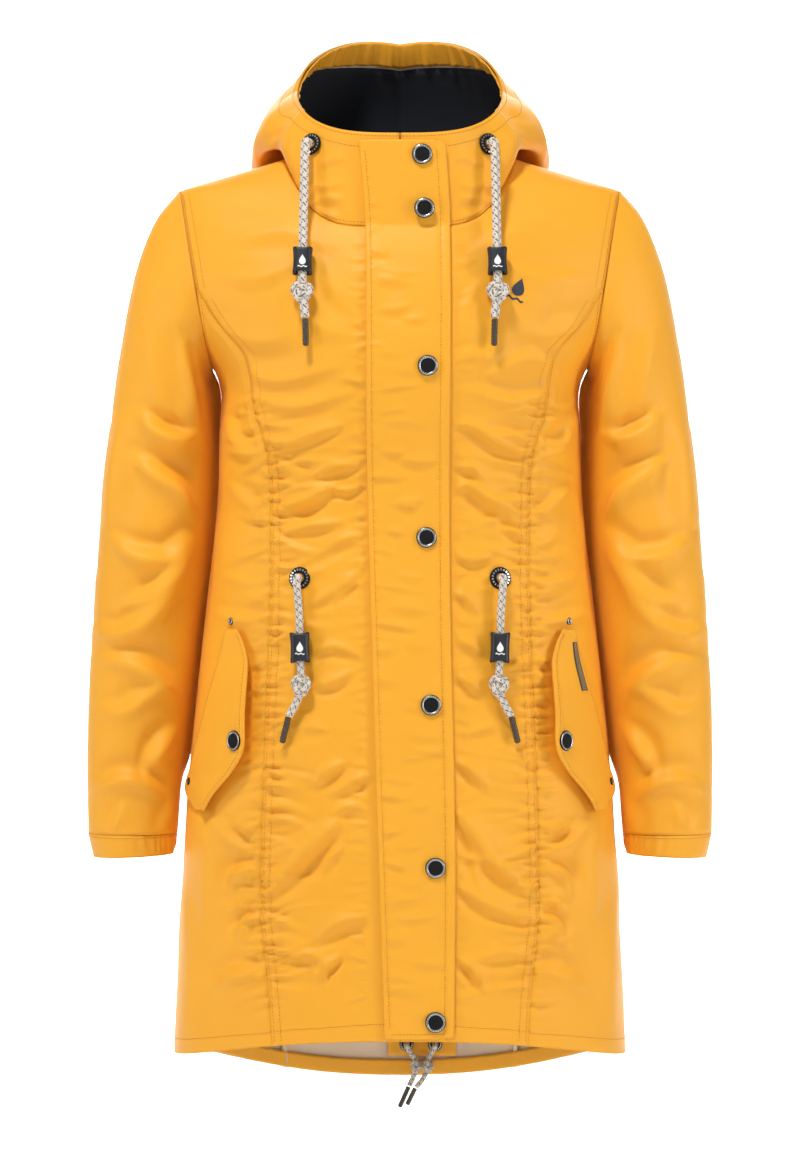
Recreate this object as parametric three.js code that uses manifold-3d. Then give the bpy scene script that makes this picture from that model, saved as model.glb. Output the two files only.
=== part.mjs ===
// A hip-to-thigh length rain parka in its worn form, with nobody in it. Millimetres, +Z up.
// The origin is the middle of the neck at shoulder height. +X is the wearer's left and -Y is the front.
import * as THREE from "three";
import { mergeVertices } from "three/addons/utils/BufferGeometryUtils.js";
import Module from "manifold-3d";

const wasm = await Module();
wasm.setup();

// ---------- driving dimensions ----------
const CLOTH = 2; // wall of coated cloth with its seam allowance
const LINING = 1.4;
const SEAM_GAP = 0.35;
const NECK_SEAM_RISE = 1.7; // the neck seam slants, so its upright gap is larger
const BODY_SQUARENESS = 2.2; // 2 is an ellipse, more is squarer
const SHOULDER = { x: 208, z: -30 };
const UNDERARM = { x: 177, z: -200 };
const NECK = { halfWidth: 108, frontDrop: 74, backDepth: 75, cornerPower: 5 };
const HEM = { halfWidth: 214, front: -820, side: -846, back: -891 };
const PRINCESS_TOP = -130; // height where the ruched seams meet the armholes
const RIM = { halfWidth: 98, front: -100, back: 150, low: 12, high: 133 };
const COLLAR_SWELL = 15;
const COLLAR_END = 66; // degrees from the front, where the collar turns into the hood
const HOOD_PANEL_END = 148; // degrees, where the hood's side panel meets its centre panel
const CORD_RADIUS = 4.1;
const WAIST_CORD_RADIUS = 3.6;
const HEM_CORD_RADIUS = 2.6;

// Height, half width, depth in front and depth behind of the body's sections.
const BODY_SECTIONS = [
  [-900, 217, 137, 142],
  [-620, 203, 130, 140],
  [-560, 198, 128, 137],
  [-440, 185.5, 120, 122],
  [-330, 173.5, 112, 103],
  [-260, 171, 121, 108],
  [-225, 169.5, 126, 111],
  [-200, 177, 128, 112],
  [-160, 204, 124, 112],
  [-120, 222, 117, 110],
  [-74, 223, 100, 103],
  [-50, 219, 80, 97],
  [-30, 208, 62, 90],
  [-15, 158, 50, 84],
  [0, 108, 38, 75],
];
// The ruched seams: height and distance from the middle.
const PRINCESS_SEAM = [
  [-900, 114],
  [-780, 120],
  [-710, 127],
  [-640, 127],
  [-560, 125],
  [-430, 120],
  [-330, 120],
  [-290, 122],
  [-240, 136],
  [-205, 141],
  [-187, 148],
  [-160, 171],
  [-130, 189],
];
// The sleeve's outer and inner lines: distance from the middle and height, from armhole to cuff.
const SLEEVE_OUTER = [
  [208, -30],
  [231, -58],
  [247, -96],
  [257, -134],
  [264, -172],
  [271, -215],
  [278, -275],
  [284, -335],
  [289, -395],
  [293, -455],
  [296, -515],
  [297, -580],
  [296, -639],
];
const SLEEVE_INNER = [
  [177, -200],
  [180, -212],
  [178, -228],
  [177, -248],
  [177, -270],
  [178, -295],
  [180, -335],
  [184, -380],
  [189, -425],
  [194.5, -475],
  [201, -530],
  [207, -585],
  [211, -639],
];

const YELLOW = { color: 0xf7b53c, roughness: 0.5, metalness: 0 };
const NAVY = { color: 0x20242e, roughness: 0.9, metalness: 0 };
const BRAID = { color: 0xd9cfbf, roughness: 0.9, metalness: 0 };
const DARK_METAL = { color: 0x2a2a2c, roughness: 0.4, metalness: 0.8 };
const PLASTIC = { color: 0x1c2029, roughness: 0.5, metalness: 0 };

const garment = new THREE.Group();
const degrees = THREE.MathUtils.degToRad;
const lerp = THREE.MathUtils.lerp;
const smoothstep = THREE.MathUtils.smoothstep;

function addPiece(name, geometry, finish) {
  const mesh = new THREE.Mesh(geometry, new THREE.MeshStandardMaterial(finish));
  mesh.name = name;
  garment.add(mesh);
  return mesh;
}

// A smooth curve through [key, value, value...] rows in rising order of key.
function through(rows) {
  const slope = (i, c) => {
    const before = rows[Math.max(i - 1, 0)];
    const after = rows[Math.min(i + 1, rows.length - 1)];
    return (after[c] - before[c]) / (after[0] - before[0]);
  };
  return (key, column = 1) => {
    let i = 0;
    while (i < rows.length - 2 && key > rows[i + 1][0]) i += 1;
    const span = rows[i + 1][0] - rows[i][0];
    const t = THREE.MathUtils.clamp((key - rows[i][0]) / span, 0, 1);
    const rest = 1 - t;
    const start = rows[i][column] * (1 + 2 * t) + slope(i, column) * span * t;
    const end = rows[i + 1][column] * (3 - 2 * t) - slope(i + 1, column) * span * rest;
    return rest * rest * start + t * t * end;
  };
}

// ---------- closed walls of cloth ----------
// outside(u, v) gives the outer face and facing(u, v) its normal. The wall grows inwards.
function wallGeometry(columns, rows, outside, facing, wall, around = false) {
  const positions = [];
  const width = around ? columns : columns + 1;
  for (const depth of [0, wall]) {
    for (let j = 0; j <= rows; j += 1) {
      for (let i = 0; i < width; i += 1) {
        const point = outside(i / columns, j / rows);
        point.addScaledVector(facing(i / columns, j / rows), -depth);
        positions.push(point.x, point.y, point.z);
      }
    }
  }
  const layer = width * (rows + 1);
  const at = (i, j, side) => side * layer + j * width + (i % width);
  const index = [];
  const quad = (a, b, c, d) => index.push(a, b, c, a, c, d);
  for (let j = 0; j < rows; j += 1) {
    for (let i = 0; i < columns; i += 1) {
      quad(at(i, j, 0), at(i + 1, j, 0), at(i + 1, j + 1, 0), at(i, j + 1, 0));
      quad(at(i, j, 1), at(i, j + 1, 1), at(i + 1, j + 1, 1), at(i + 1, j, 1));
    }
    if (!around) {
      quad(at(0, j, 0), at(0, j + 1, 0), at(0, j + 1, 1), at(0, j, 1));
      quad(at(columns, j, 0), at(columns, j, 1), at(columns, j + 1, 1), at(columns, j + 1, 0));
    }
  }
  for (let i = 0; i < columns; i += 1) {
    quad(at(i, 0, 0), at(i, 0, 1), at(i + 1, 0, 1), at(i + 1, 0, 0));
    quad(at(i, rows, 0), at(i + 1, rows, 0), at(i + 1, rows, 1), at(i, rows, 1));
  }
  const geometry = new THREE.BufferGeometry();
  geometry.setAttribute("position", new THREE.Float32BufferAttribute(positions, 3));
  geometry.setIndex(index);
  return facingOut(geometry);
}

function solidOf(geometry) {
  const bare = geometry.clone();
  bare.deleteAttribute("normal");
  bare.deleteAttribute("uv");
  const merged = mergeVertices(bare, 1e-3);
  return new wasm.Manifold(
    new wasm.Mesh({
      numProp: 3,
      vertProperties: merged.attributes.position.array,
      triVerts: new Uint32Array(merged.index.array),
    }),
  );
}

function geometryOf(solid) {
  const mesh = solid.getMesh();
  const geometry = new THREE.BufferGeometry();
  geometry.setAttribute("position", new THREE.BufferAttribute(mesh.vertProperties, 3));
  geometry.setIndex(new THREE.BufferAttribute(mesh.triVerts, 1));
  return geometry;
}

// Turns a mesh whose faces point inwards the right way round.
function facingOut(geometry) {
  const { position } = geometry.attributes;
  const index = geometry.index.array;
  const [a, b, c] = [new THREE.Vector3(), new THREE.Vector3(), new THREE.Vector3()];
  let volume = 0;
  for (let k = 0; k < index.length; k += 3) {
    a.fromBufferAttribute(position, index[k]);
    b.fromBufferAttribute(position, index[k + 1]);
    c.fromBufferAttribute(position, index[k + 2]);
    volume += a.dot(b.cross(c));
  }
  if (volume < 0) {
    for (let k = 0; k < index.length; k += 3) {
      [index[k + 1], index[k + 2]] = [index[k + 2], index[k + 1]];
    }
  }
  return geometry;
}

// ---------- the body ----------
const throughSections = through(BODY_SECTIONS);

// Half width in column 1, depth in front in column 2 and behind in column 3.
function bodySize(z, column = 1) {
  const onShoulder = column === 1 && z > SHOULDER.z;
  return onShoulder ? lerp(NECK.halfWidth, SHOULDER.x, z / SHOULDER.z) : throughSections(z, column);
}
const princessX = through(PRINCESS_SEAM);

// A point of the body's outer face. Angle 0 is the middle of that face and 90 degrees the side.
function bodyPoint(side, face, angle, z) {
  const power = 2 / BODY_SQUARENESS;
  const depth = face === "front" ? -bodySize(z, 2) : bodySize(z, 3);
  const across = Math.sign(angle) * Math.abs(Math.sin(angle)) ** power;
  return new THREE.Vector3(
    side * bodySize(z) * across,
    depth * Math.max(Math.cos(angle), 0) ** power,
    z,
  );
}

function bodyNormal(side, face, angle, z) {
  const power = 2 - 2 / BODY_SQUARENESS;
  const width = bodySize(z);
  const depth = face === "front" ? bodySize(z, 2) : bodySize(z, 3);
  const across = Math.sign(angle) * Math.abs(Math.sin(angle)) ** power / width;
  const along = (Math.max(Math.cos(angle), 0) ** power / depth) * (face === "front" ? -1 : 1);
  const step = 2;
  const column = face === "front" ? 2 : 3;
  const growX = (bodySize(z + step) - bodySize(z - step)) / (2 * step);
  const growY = (bodySize(z + step, column) - bodySize(z - step, column)) / (2 * step);
  const rise = growX * Math.sin(angle) ** 2 / width + growY * Math.cos(angle) ** 2 / depth;
  return new THREE.Vector3(side * across, along, -rise).normalize();
}

function bodyAngle(x, z) {
  return Math.asin(Math.min(1, (x / bodySize(z)) ** (BODY_SQUARENESS / 2)));
}

function armholeX(z) {
  const down = (SHOULDER.z - z) / (SHOULDER.z - UNDERARM.z);
  return lerp(SHOULDER.x, UNDERARM.x, down);
}

function hemZ(face, x) {
  const out = Math.abs(x) / HEM.halfWidth;
  const middle = face === "front" ? HEM.front : HEM.back;
  return middle + (HEM.side - middle) * out ** 2.3;
}

function necklineZ(x) {
  return -NECK.frontDrop * (1 - (x / NECK.halfWidth) ** NECK.cornerPower);
}

// A four-sided patch of the front or back view, between four edges.
// A high reach keeps the top edge's shape close to the top.
function patch(bottom, top, left, right, reach = 1) {
  const corners = [bottom(0), bottom(1), top(0), top(1)];
  return (u, v) => {
    const rise = v ** reach;
    return [0, 1].map((k) => {
      const [b0, b1, t0, t1] = corners.map((corner) => corner[k]);
      const across = lerp(left(v)[k], right(v)[k], u);
      const along = lerp(bottom(u)[k], top(u)[k], rise);
      return across + along - lerp(lerp(b0, b1, u), lerp(t0, t1, u), rise);
    });
  };
}

const EDGE_ANGLE = Math.PI / 2 - 0.004;
const CENTRE_GRID = { columns: 10, rows: 18 };
const SIDE_GRID = { columns: 4, rows: 13 };
const NECK_SHARE = 0.55; // of a centre panel's top edge
// Rows lie closer together towards the shoulder.
const rowShare = (v) => 1 - (1 - v) ** 1.6;
const PRINCESS_SHARE = rowShare(SIDE_GRID.rows / CENTRE_GRID.rows);
const princessHem = princessX(HEM.side);

function princessEdge(face, share) {
  const z = lerp(hemZ(face, princessHem), PRINCESS_TOP, share);
  return [princessX(z), z];
}

// Places of a centre panel as [x, z]. Its top edge is the neckline and then the shoulder seam.
function centrePatch(face) {
  const top = (u) => {
    if (u > NECK_SHARE) {
      const along = (u - NECK_SHARE) / (1 - NECK_SHARE);
      const drop = SEAM_GAP * Math.max(0, 1 - 12 * along);
      return [lerp(NECK.halfWidth, SHOULDER.x, along), SHOULDER.z * along - drop];
    }
    const x = NECK.halfWidth * Math.sin((u / NECK_SHARE) * (Math.PI / 2));
    return [x, (face === "front" ? necklineZ(x) : 0) - SEAM_GAP];
  };
  const middle = (v) => [0, lerp(hemZ(face, 0), top(0)[1], v)];
  const outer = (v) => {
    if (v < PRINCESS_SHARE) return princessEdge(face, v / PRINCESS_SHARE);
    const z = lerp(PRINCESS_TOP, SHOULDER.z, (v - PRINCESS_SHARE) / (1 - PRINCESS_SHARE));
    // The gap closes at the shoulder's end, where front and back meet.
    return [armholeX(z) - SEAM_GAP * Math.min(1, (SHOULDER.z - z) / 12), z];
  };
  const hem = (u) => [princessHem * u, hemZ(face, princessHem * u)];
  return patch(hem, top, middle, outer, 3);
}

// Places of a side panel as [angle, z]. Its top edge is the lower part of the armhole.
function sidePatch(face) {
  const asAngle = ([x, z]) => [Math.min(bodyAngle(x, z), EDGE_ANGLE), z];
  const share = (v) => rowShare((v * SIDE_GRID.rows) / CENTRE_GRID.rows) / PRINCESS_SHARE;
  const princess = (v) => asAngle(princessEdge(face, share(v)));
  const sideSeam = (v) => [EDGE_ANGLE, lerp(HEM.side, UNDERARM.z, share(v))];
  const hem = (u) => {
    const angle = lerp(bodyAngle(princessHem, HEM.side), EDGE_ANGLE, u);
    const x = bodySize(HEM.side) * Math.sin(angle) ** (2 / BODY_SQUARENESS);
    return [angle, hemZ(face, x)];
  };
  const armhole = (u) => {
    const z = lerp(PRINCESS_TOP, UNDERARM.z, u);
    return asAngle([armholeX(z) - SEAM_GAP, z]);
  };
  return patch(hem, armhole, princess, sideSeam);
}

const SIDES = { right: -1, left: 1 };
const CENTRE_INSET = 0.0024;
const SIDE_INSET = 0.0012;

function frontCentrePanel(name, side) {
  const onPatch = centrePatch("front");
  const place = (u, v) => {
    const [x, z] = onPatch(lerp(CENTRE_INSET, 1 - CENTRE_INSET, u), rowShare(v));
    return [side, "front", Math.min(bodyAngle(x, z), EDGE_ANGLE), z];
  };
  const { columns, rows } = CENTRE_GRID;
  const outside = (u, v) => bodyPoint(...place(u, v));
  const facing = (u, v) => bodyNormal(...place(u, v));
  addPiece("front_centre_" + name, wallGeometry(columns, rows, outside, facing, CLOTH), YELLOW);
}

function sidePanel(name, side, face) {
  const onPatch = sidePatch(face);
  const place = (u, v) => [side, face, ...onPatch(lerp(SIDE_INSET, 1 - SIDE_INSET, u), v)];
  const { columns, rows } = SIDE_GRID;
  const outside = (u, v) => bodyPoint(...place(u, v));
  const facing = (u, v) => bodyNormal(...place(u, v));
  addPiece(face + "_side_" + name, wallGeometry(columns, rows, outside, facing, CLOTH), YELLOW);
}

// The back has no middle seam, so its centre panel runs from one ruched seam to the other.
function backCentrePanel() {
  const onPatch = centrePatch("back");
  const place = (u, v) => {
    const across = (2 * u - 1) * (1 - CENTRE_INSET);
    const [x, z] = onPatch(Math.abs(across), rowShare(v));
    return [1, "back", Math.sign(across) * Math.min(bodyAngle(x, z), EDGE_ANGLE), z];
  };
  const outside = (u, v) => bodyPoint(...place(u, v));
  const facing = (u, v) => bodyNormal(...place(u, v));
  addPiece("back_centre", wallGeometry(14, CENTRE_GRID.rows, outside, facing, CLOTH), YELLOW);
}

for (const [name, side] of Object.entries(SIDES)) {
  frontCentrePanel(name, side);
  sidePanel(name, side, "front");
  sidePanel(name, side, "back");
}
backCentrePanel();

// ---------- sleeves and cuffs ----------
const ARMHOLE_GAP = 1.7; // widest at the seam's flat facets
const SLEEVE_GRID = { around: 16, along: 13 };
const CUFF_BOTTOM = { outer: [291, -662], inner: [214, -659] };
const SLEEVE_DEPTHS = through([
  [0, 60, 0],
  [0.2, 60, 2],
  [0.45, 57, 6],
  [0.7, 51, 4],
  [1, 43, -2],
]);

function lineThrough(rows) {
  const keyed = rows.map(([x, z], i) => [i / (rows.length - 1), x, z]);
  const read = through(keyed);
  return (t) => new THREE.Vector2(read(t, 1), read(t, 2));
}
const outerLine = lineThrough(SLEEVE_OUTER);
const innerLine = lineThrough(SLEEVE_INNER);

// The sleeve's ring at t, 0 at the armhole. Turn 0 is the outer line and pi the inner line.
function sleevePoint(side, turn, t) {
  const outer = outerLine(t);
  const inner = innerLine(t);
  const share = (1 - Math.cos(turn)) / 2;
  const x = lerp(outer.x, inner.x, share);
  const z = lerp(outer.y, inner.y, share);
  const depth = SLEEVE_DEPTHS(t) * Math.sin(turn) + SLEEVE_DEPTHS(t, 2);
  const holeZ = lerp(SHOULDER.z, UNDERARM.z, share);
  const face = Math.sin(turn) < 0 ? "front" : "back";
  const hole = bodyPoint(1, face, bodyAngle(armholeX(holeZ), holeZ), holeZ).y;
  const y = lerp(hole, depth, smoothstep(t, 0, 0.3));
  const clear = ARMHOLE_GAP * (1 - smoothstep(t, 0, 0.1));
  return new THREE.Vector3(side * (x + clear), y, z);
}

function cuffPoint(side, turn, t) {
  const start = sleevePoint(1, turn, 1);
  const share = (1 - Math.cos(turn)) / 2;
  const end = new THREE.Vector3(
    lerp(CUFF_BOTTOM.outer[0], CUFF_BOTTOM.inner[0], share),
    start.y * 0.94,
    lerp(CUFF_BOTTOM.outer[1], CUFF_BOTTOM.inner[1], share),
  );
  const point = start.lerp(end, t);
  point.z -= 2 * SEAM_GAP * (1 - t);
  point.x *= side;
  return point;
}

function normalOf(surface, handed) {
  const step = 0.01;
  return (u, v) => {
    const low = Math.max(v - step, 0);
    const high = Math.min(v + step, 1);
    const across = surface(u + step, v).sub(surface(u - step, v));
    const along = surface(u, high).sub(surface(u, low));
    return across.cross(along).multiplyScalar(handed).normalize();
  };
}

for (const [name, side] of Object.entries(SIDES)) {
  const sleeve = (u, v) => sleevePoint(side, u * 2 * Math.PI, v);
  const cuff = (u, v) => cuffPoint(side, u * 2 * Math.PI, v);
  const { around, along } = SLEEVE_GRID;
  const sleeveWall = wallGeometry(around, along, sleeve, normalOf(sleeve, -side), CLOTH, true);
  addPiece("sleeve_" + name, sleeveWall, YELLOW);
  addPiece("cuff_" + name, wallGeometry(around, 2, cuff, normalOf(cuff, -side), CLOTH, true), YELLOW);
}

// ---------- collar and hood ----------
// Both are read by the turn round the neck, 0 at the middle front and 180 degrees at the nape.
// Past 180 degrees the turn runs on along the wearer's right side.
const FRONT_CORNER = 0.74; // below 1 the front of the neck is squarer than an ellipse

function neckPoint(turn) {
  if (turn >= Math.PI / 2) {
    return new THREE.Vector3(NECK.halfWidth * Math.sin(turn), -NECK.backDepth * Math.cos(turn), 0);
  }
  const x = NECK.halfWidth * Math.sin(turn) ** FRONT_CORNER;
  const z = necklineZ(x);
  return bodyPoint(1, "front", Math.min(bodyAngle(x, z), EDGE_ANGLE), z);
}

function rimPoint(turn) {
  const middle = (RIM.front + RIM.back) / 2;
  const reach = (RIM.back - RIM.front) / 2;
  const corner = turn < Math.PI / 2 ? FRONT_CORNER : 1;
  const risen = ((1 - Math.cos(turn)) / 2) ** 1.12;
  const backLift = 9 * Math.max(0, Math.sin(2 * turn - Math.PI));
  return new THREE.Vector3(
    RIM.halfWidth * Math.sin(turn) ** corner,
    middle - reach * Math.sign(Math.cos(turn)) * Math.abs(Math.cos(turn)) ** corner,
    lerp(RIM.low, RIM.high, risen) + backLift,
  );
}

// The stand between neck seam and rim, which swells into a corner where the collar ends.
function standPoint(turn, v) {
  const swell = smoothstep(turn, degrees(COLLAR_END) / 2, degrees(COLLAR_END));
  const outward = COLLAR_SWELL * swell * Math.sin(Math.PI * v);
  const point = neckPoint(turn).lerp(rimPoint(turn), v);
  point.x += outward * Math.sin(degrees(COLLAR_END));
  point.y -= outward * Math.cos(degrees(COLLAR_END));
  return point;
}

// Stations of the laid-back hood at its side, quarter and back, from crest to outer leg.
const HOOD_TURNS = [COLLAR_END, 90, 120, 150, 180].map(degrees);
const HOOD_STATIONS = {
  crest: [[111, 2, 24], [98, 58, 30], [56, 84, 30], [0, 92, 30]],
  innerLeg: [[121, 8, 10], [112, 70, -8], [62, 108, -36], [0, 119, -44]],
  pouch: [[135, 16, 4], [132, 90, -34], [80, 143, -88], [0, 152, -102]],
  outerLow: [[138, 12, 22], [137, 98, 0], [88, 168, -42], [0, 186, -50]],
  outerHigh: [[125, 6, 46], [115, 90, 62], [74, 166, 54], [0, 190, 50]],
};

// Between the collar's end and the first station, the fold grows out of the plain stand.
function hoodStation(name, turn) {
  const order = Object.keys(HOOD_STATIONS).indexOf(name) + 1;
  const stand = (at) => standPoint(at, order / 6);
  const places = [stand(HOOD_TURNS[0]).toArray(), ...HOOD_STATIONS[name]];
  const read = through(HOOD_TURNS.map((at, i) => [at, ...places[i]]));
  const blend = smoothstep(turn, HOOD_TURNS[0], HOOD_TURNS[0] + degrees(12));
  return stand(turn).lerp(new THREE.Vector3(read(turn, 1), read(turn, 2), read(turn, 3)), blend);
}

// The hood's outer face, v from the neck seam over crest and pouch to the rim.
function hoodPoint(turn, v) {
  const folded = turn > Math.PI ? 2 * Math.PI - turn : turn;
  const stops = [neckPoint(folded)];
  for (const name of Object.keys(HOOD_STATIONS)) stops.push(hoodStation(name, folded));
  stops.push(rimPoint(folded));
  const read = through(stops.map((stop, i) => [i / (stops.length - 1), ...stop.toArray()]));
  const point = new THREE.Vector3(read(v, 1), read(v, 2), read(v, 3));
  point.z += NECK_SEAM_RISE * Math.max(0, 1 - v * 8);
  if (turn > Math.PI) point.x *= -1;
  return point;
}

// The outward normal of a surface read by turn and height.
function normalBy(surface) {
  const step = 0.012;
  return (turn, v) => {
    const across = surface(turn + step, v).sub(surface(turn - step, v));
    const low = Math.max(v - step, 0);
    const along = surface(turn, Math.min(v + step, 1)).sub(surface(turn, low));
    return across.cross(along).normalize();
  };
}
const hoodNormal = normalBy(hoodPoint);

function collarPoint(turn, v) {
  const point = standPoint(Math.abs(turn), v);
  point.z += NECK_SEAM_RISE * Math.max(0, 1 - v * 8);
  if (turn < 0) point.x *= -1;
  return point;
}
const collarNormal = normalBy(collarPoint);

const TURN_GAP = 0.0024; // half a seam's gap, as a turn round the neck
for (const [name, side] of Object.entries(SIDES)) {
  const span = [TURN_GAP, degrees(COLLAR_END) - TURN_GAP].map((turn) => side * turn).sort((a, b) => a - b);
  const place = (u, v) => [lerp(...span, u), v];
  const outside = (u, v) => collarPoint(...place(u, v));
  const facing = (u, v) => collarNormal(...place(u, v));
  addPiece("collar_" + name, wallGeometry(8, 4, outside, facing, CLOTH), YELLOW);
}

// A stretch of hood on a grid of turns and shares of its section, sunk below the outer face.
function hoodWall(turns, shares, sunk, wall) {
  const [columns, rows] = [turns.length - 1, shares.length - 1];
  const place = (u, v) => [turns[Math.round(u * columns)], shares[Math.round(v * rows)]];
  const facing = (u, v) => hoodNormal(...place(u, v));
  const outside = (u, v) => hoodPoint(...place(u, v)).addScaledVector(facing(u, v), -sunk);
  return wallGeometry(columns, rows, outside, facing, wall);
}

function evenly(from, to, count) {
  return Array.from({ length: count + 1 }, (_, i) => lerp(from, to, i / count));
}

const HOOD_ROWS = 12;
const SIDE_COLUMNS = 8;
const CENTRE_COLUMNS = 4;
const hoodShares = evenly(0, 1, HOOD_ROWS);
const [firstTurn, panelTurn] = [degrees(COLLAR_END), degrees(HOOD_PANEL_END)];
const fullTurn = 2 * Math.PI;
const leftTurns = evenly(firstTurn + TURN_GAP, panelTurn - TURN_GAP, SIDE_COLUMNS);
const centreTurns = evenly(panelTurn + TURN_GAP, fullTurn - panelTurn - TURN_GAP, CENTRE_COLUMNS);
const rightTurns = leftTurns.map((turn) => fullTurn - turn).reverse();
addPiece("hood_side_left", hoodWall(leftTurns, hoodShares, 0, CLOTH), YELLOW);
addPiece("hood_centre", hoodWall(centreTurns, hoodShares, 0, CLOTH), YELLOW);
addPiece("hood_side_right", hoodWall(rightTurns, hoodShares, 0, CLOTH), YELLOW);

// Inside, the gathered facing follows the rim and the navy lining fills the rest of the bag.
const insideTurns = [...leftTurns.slice(2), ...centreTurns.slice(1, -1), ...rightTurns.slice(0, -2)];
const insideDepth = CLOTH + 2 * SEAM_GAP;
const facingEdge = 0.957; // share of the section where the band ends and the lining begins
const liningShares = [...hoodShares.slice(1, -1), facingEdge - 0.006];
addPiece("hood_facing", hoodWall(insideTurns, [facingEdge, 1], insideDepth, LINING), YELLOW);
addPiece("hood_lining", hoodWall(insideTurns, liningShares, insideDepth, LINING), NAVY);

// ---------- what lies on the front ----------
// The front's outer face at a place in the front view, with the collar above the neckline.
function frontFace(x, z) {
  const seam = necklineZ(Math.abs(x));
  if (z <= seam) {
    const angle = bodyAngle(Math.abs(x), z);
    const side = Math.sign(x) || 1;
    return { point: bodyPoint(side, "front", angle, z), normal: bodyNormal(side, "front", angle, z) };
  }
  let low = 0;
  let high = degrees(COLLAR_END + 20);
  const onCollar = (turn) => {
    const v = (z - neckPoint(turn).z) / (rimPoint(turn).z - neckPoint(turn).z);
    return [turn, THREE.MathUtils.clamp(v, 0, 1)];
  };
  for (let i = 0; i < 24; i += 1) {
    const middle = (low + high) / 2;
    if (collarPoint(...onCollar(middle)).x < Math.abs(x)) low = middle;
    else high = middle;
  }
  const [turn, v] = onCollar(low);
  const signed = x < 0 ? -turn : turn;
  return { point: collarPoint(signed, v), normal: collarNormal(signed, v) };
}

function raised(x, z, height) {
  const { point, normal } = frontFace(x, z);
  return point.addScaledVector(normal, height);
}

const FLAP_LEFT_EDGE = through([
  [-818, -14],
  [-640, -20],
  [-480, -25],
  [-300, -30],
  [-74, -32],
  [12, -38],
]);
const FLAP_RIGHT_EDGE = through([
  [-818, 49],
  [-640, 50],
  [-440, 46],
  [-300, 45],
  [-74, 46],
  [12, 41],
]);
const FLAP_TOP = 5.5;
const FLAP_BOTTOM = -818;
const FLAP_LIFT = CLOTH + 4 * SEAM_GAP;
const flapFace = (u, v) => {
  const z = lerp(FLAP_BOTTOM, FLAP_TOP, v);
  return [lerp(FLAP_LEFT_EDGE(z), FLAP_RIGHT_EDGE(z), u), z];
};
const stormFlap = wallGeometry(
  4,
  26,
  (u, v) => raised(...flapFace(u, v), FLAP_LIFT),
  (u, v) => frontFace(...flapFace(u, v)).normal,
  CLOTH,
);
addPiece("storm_flap", stormFlap, YELLOW);

// A turned fitting that stands on the front, its axis along the face's normal.
function placeOn(name, geometry, x, z, height, finish) {
  const { point, normal } = frontFace(x, z);
  const mesh = addPiece(name, geometry, finish);
  mesh.position.copy(point.addScaledVector(normal, height));
  mesh.quaternion.setFromUnitVectors(new THREE.Vector3(0, 0, 1), normal);
  return mesh;
}

function turned(profile, sides) {
  const outline = profile.map(([radius, height]) => new THREE.Vector2(radius, height));
  return new THREE.LatheGeometry(outline, sides).rotateX(Math.PI / 2);
}
const snapShape = () =>
  turned([[0, 0], [9.3, 0], [9.3, 1.4], [8.4, 2.2], [0, 2.2]], 14);
const rivetShape = () => turned([[0, 0], [3.4, 0], [3.4, 1], [2.2, 2], [0, 2]], 12);
const eyeletShape = (outer, hole) =>
  turned([[hole, 0], [outer, 0], [outer, 1.2], [outer - 1.6, 2], [hole, 2], [hole, 0]], 14);

// Distance from the middle, height, and the extra stand-off where the flap bridges the neck seam.
const SNAPS = [
  [20, -8, 0],
  [22, -58, 4.5],
  [25, -204, 0],
  [24, -361, 0],
  [28, -514, 0],
  [32, -662, 0],
  [32, -802, 0],
];
SNAPS.forEach(([x, z, extra], i) => {
  placeOn("snap_" + (i + 1), snapShape(), x, z, FLAP_LIFT + 2 * SEAM_GAP + extra, DARK_METAL);
});

// ---------- pocket flaps ----------
// Height, the sewn slanting edge and the free edge that stands off the body.
const POCKET_EDGES = through([
  [-616, 186, 176],
  [-598, 199, 166],
  [-575, 193.5, 147],
  [-556, 189, 136.5],
  [-520, 180, 135],
  [-480, 169, 135],
  [-458, 163, 141],
  [-444, 159, 148],
]);
const POCKET_TOP = -446;
const POCKET_BOTTOM = -614;
function pocketFlapPoint(side, u, v) {
  const z = lerp(POCKET_BOTTOM, POCKET_TOP, v);
  const sewn = bodyAngle(POCKET_EDGES(z, 1), z);
  const free = bodyAngle(POCKET_EDGES(z, 2), z);
  const angle = lerp(sewn, free, u);
  const lift = 6 * SEAM_GAP + CLOTH + u * u * (3 + 9 * Math.sin(Math.PI * (1 - v)) ** 2 + 3 * (1 - v));
  return bodyPoint(side, "front", angle, z).addScaledVector(bodyNormal(side, "front", angle, z), lift);
}
const LABEL = { u: [0.16, 0.3], v: [0.66, 0.93] };
const POCKET_SNAP = { u: 0.86, v: 0.39 };
const POCKET_RIVET = { u: 0.2, v: 0.15 }; // at the lower end of the sewn edge
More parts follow.
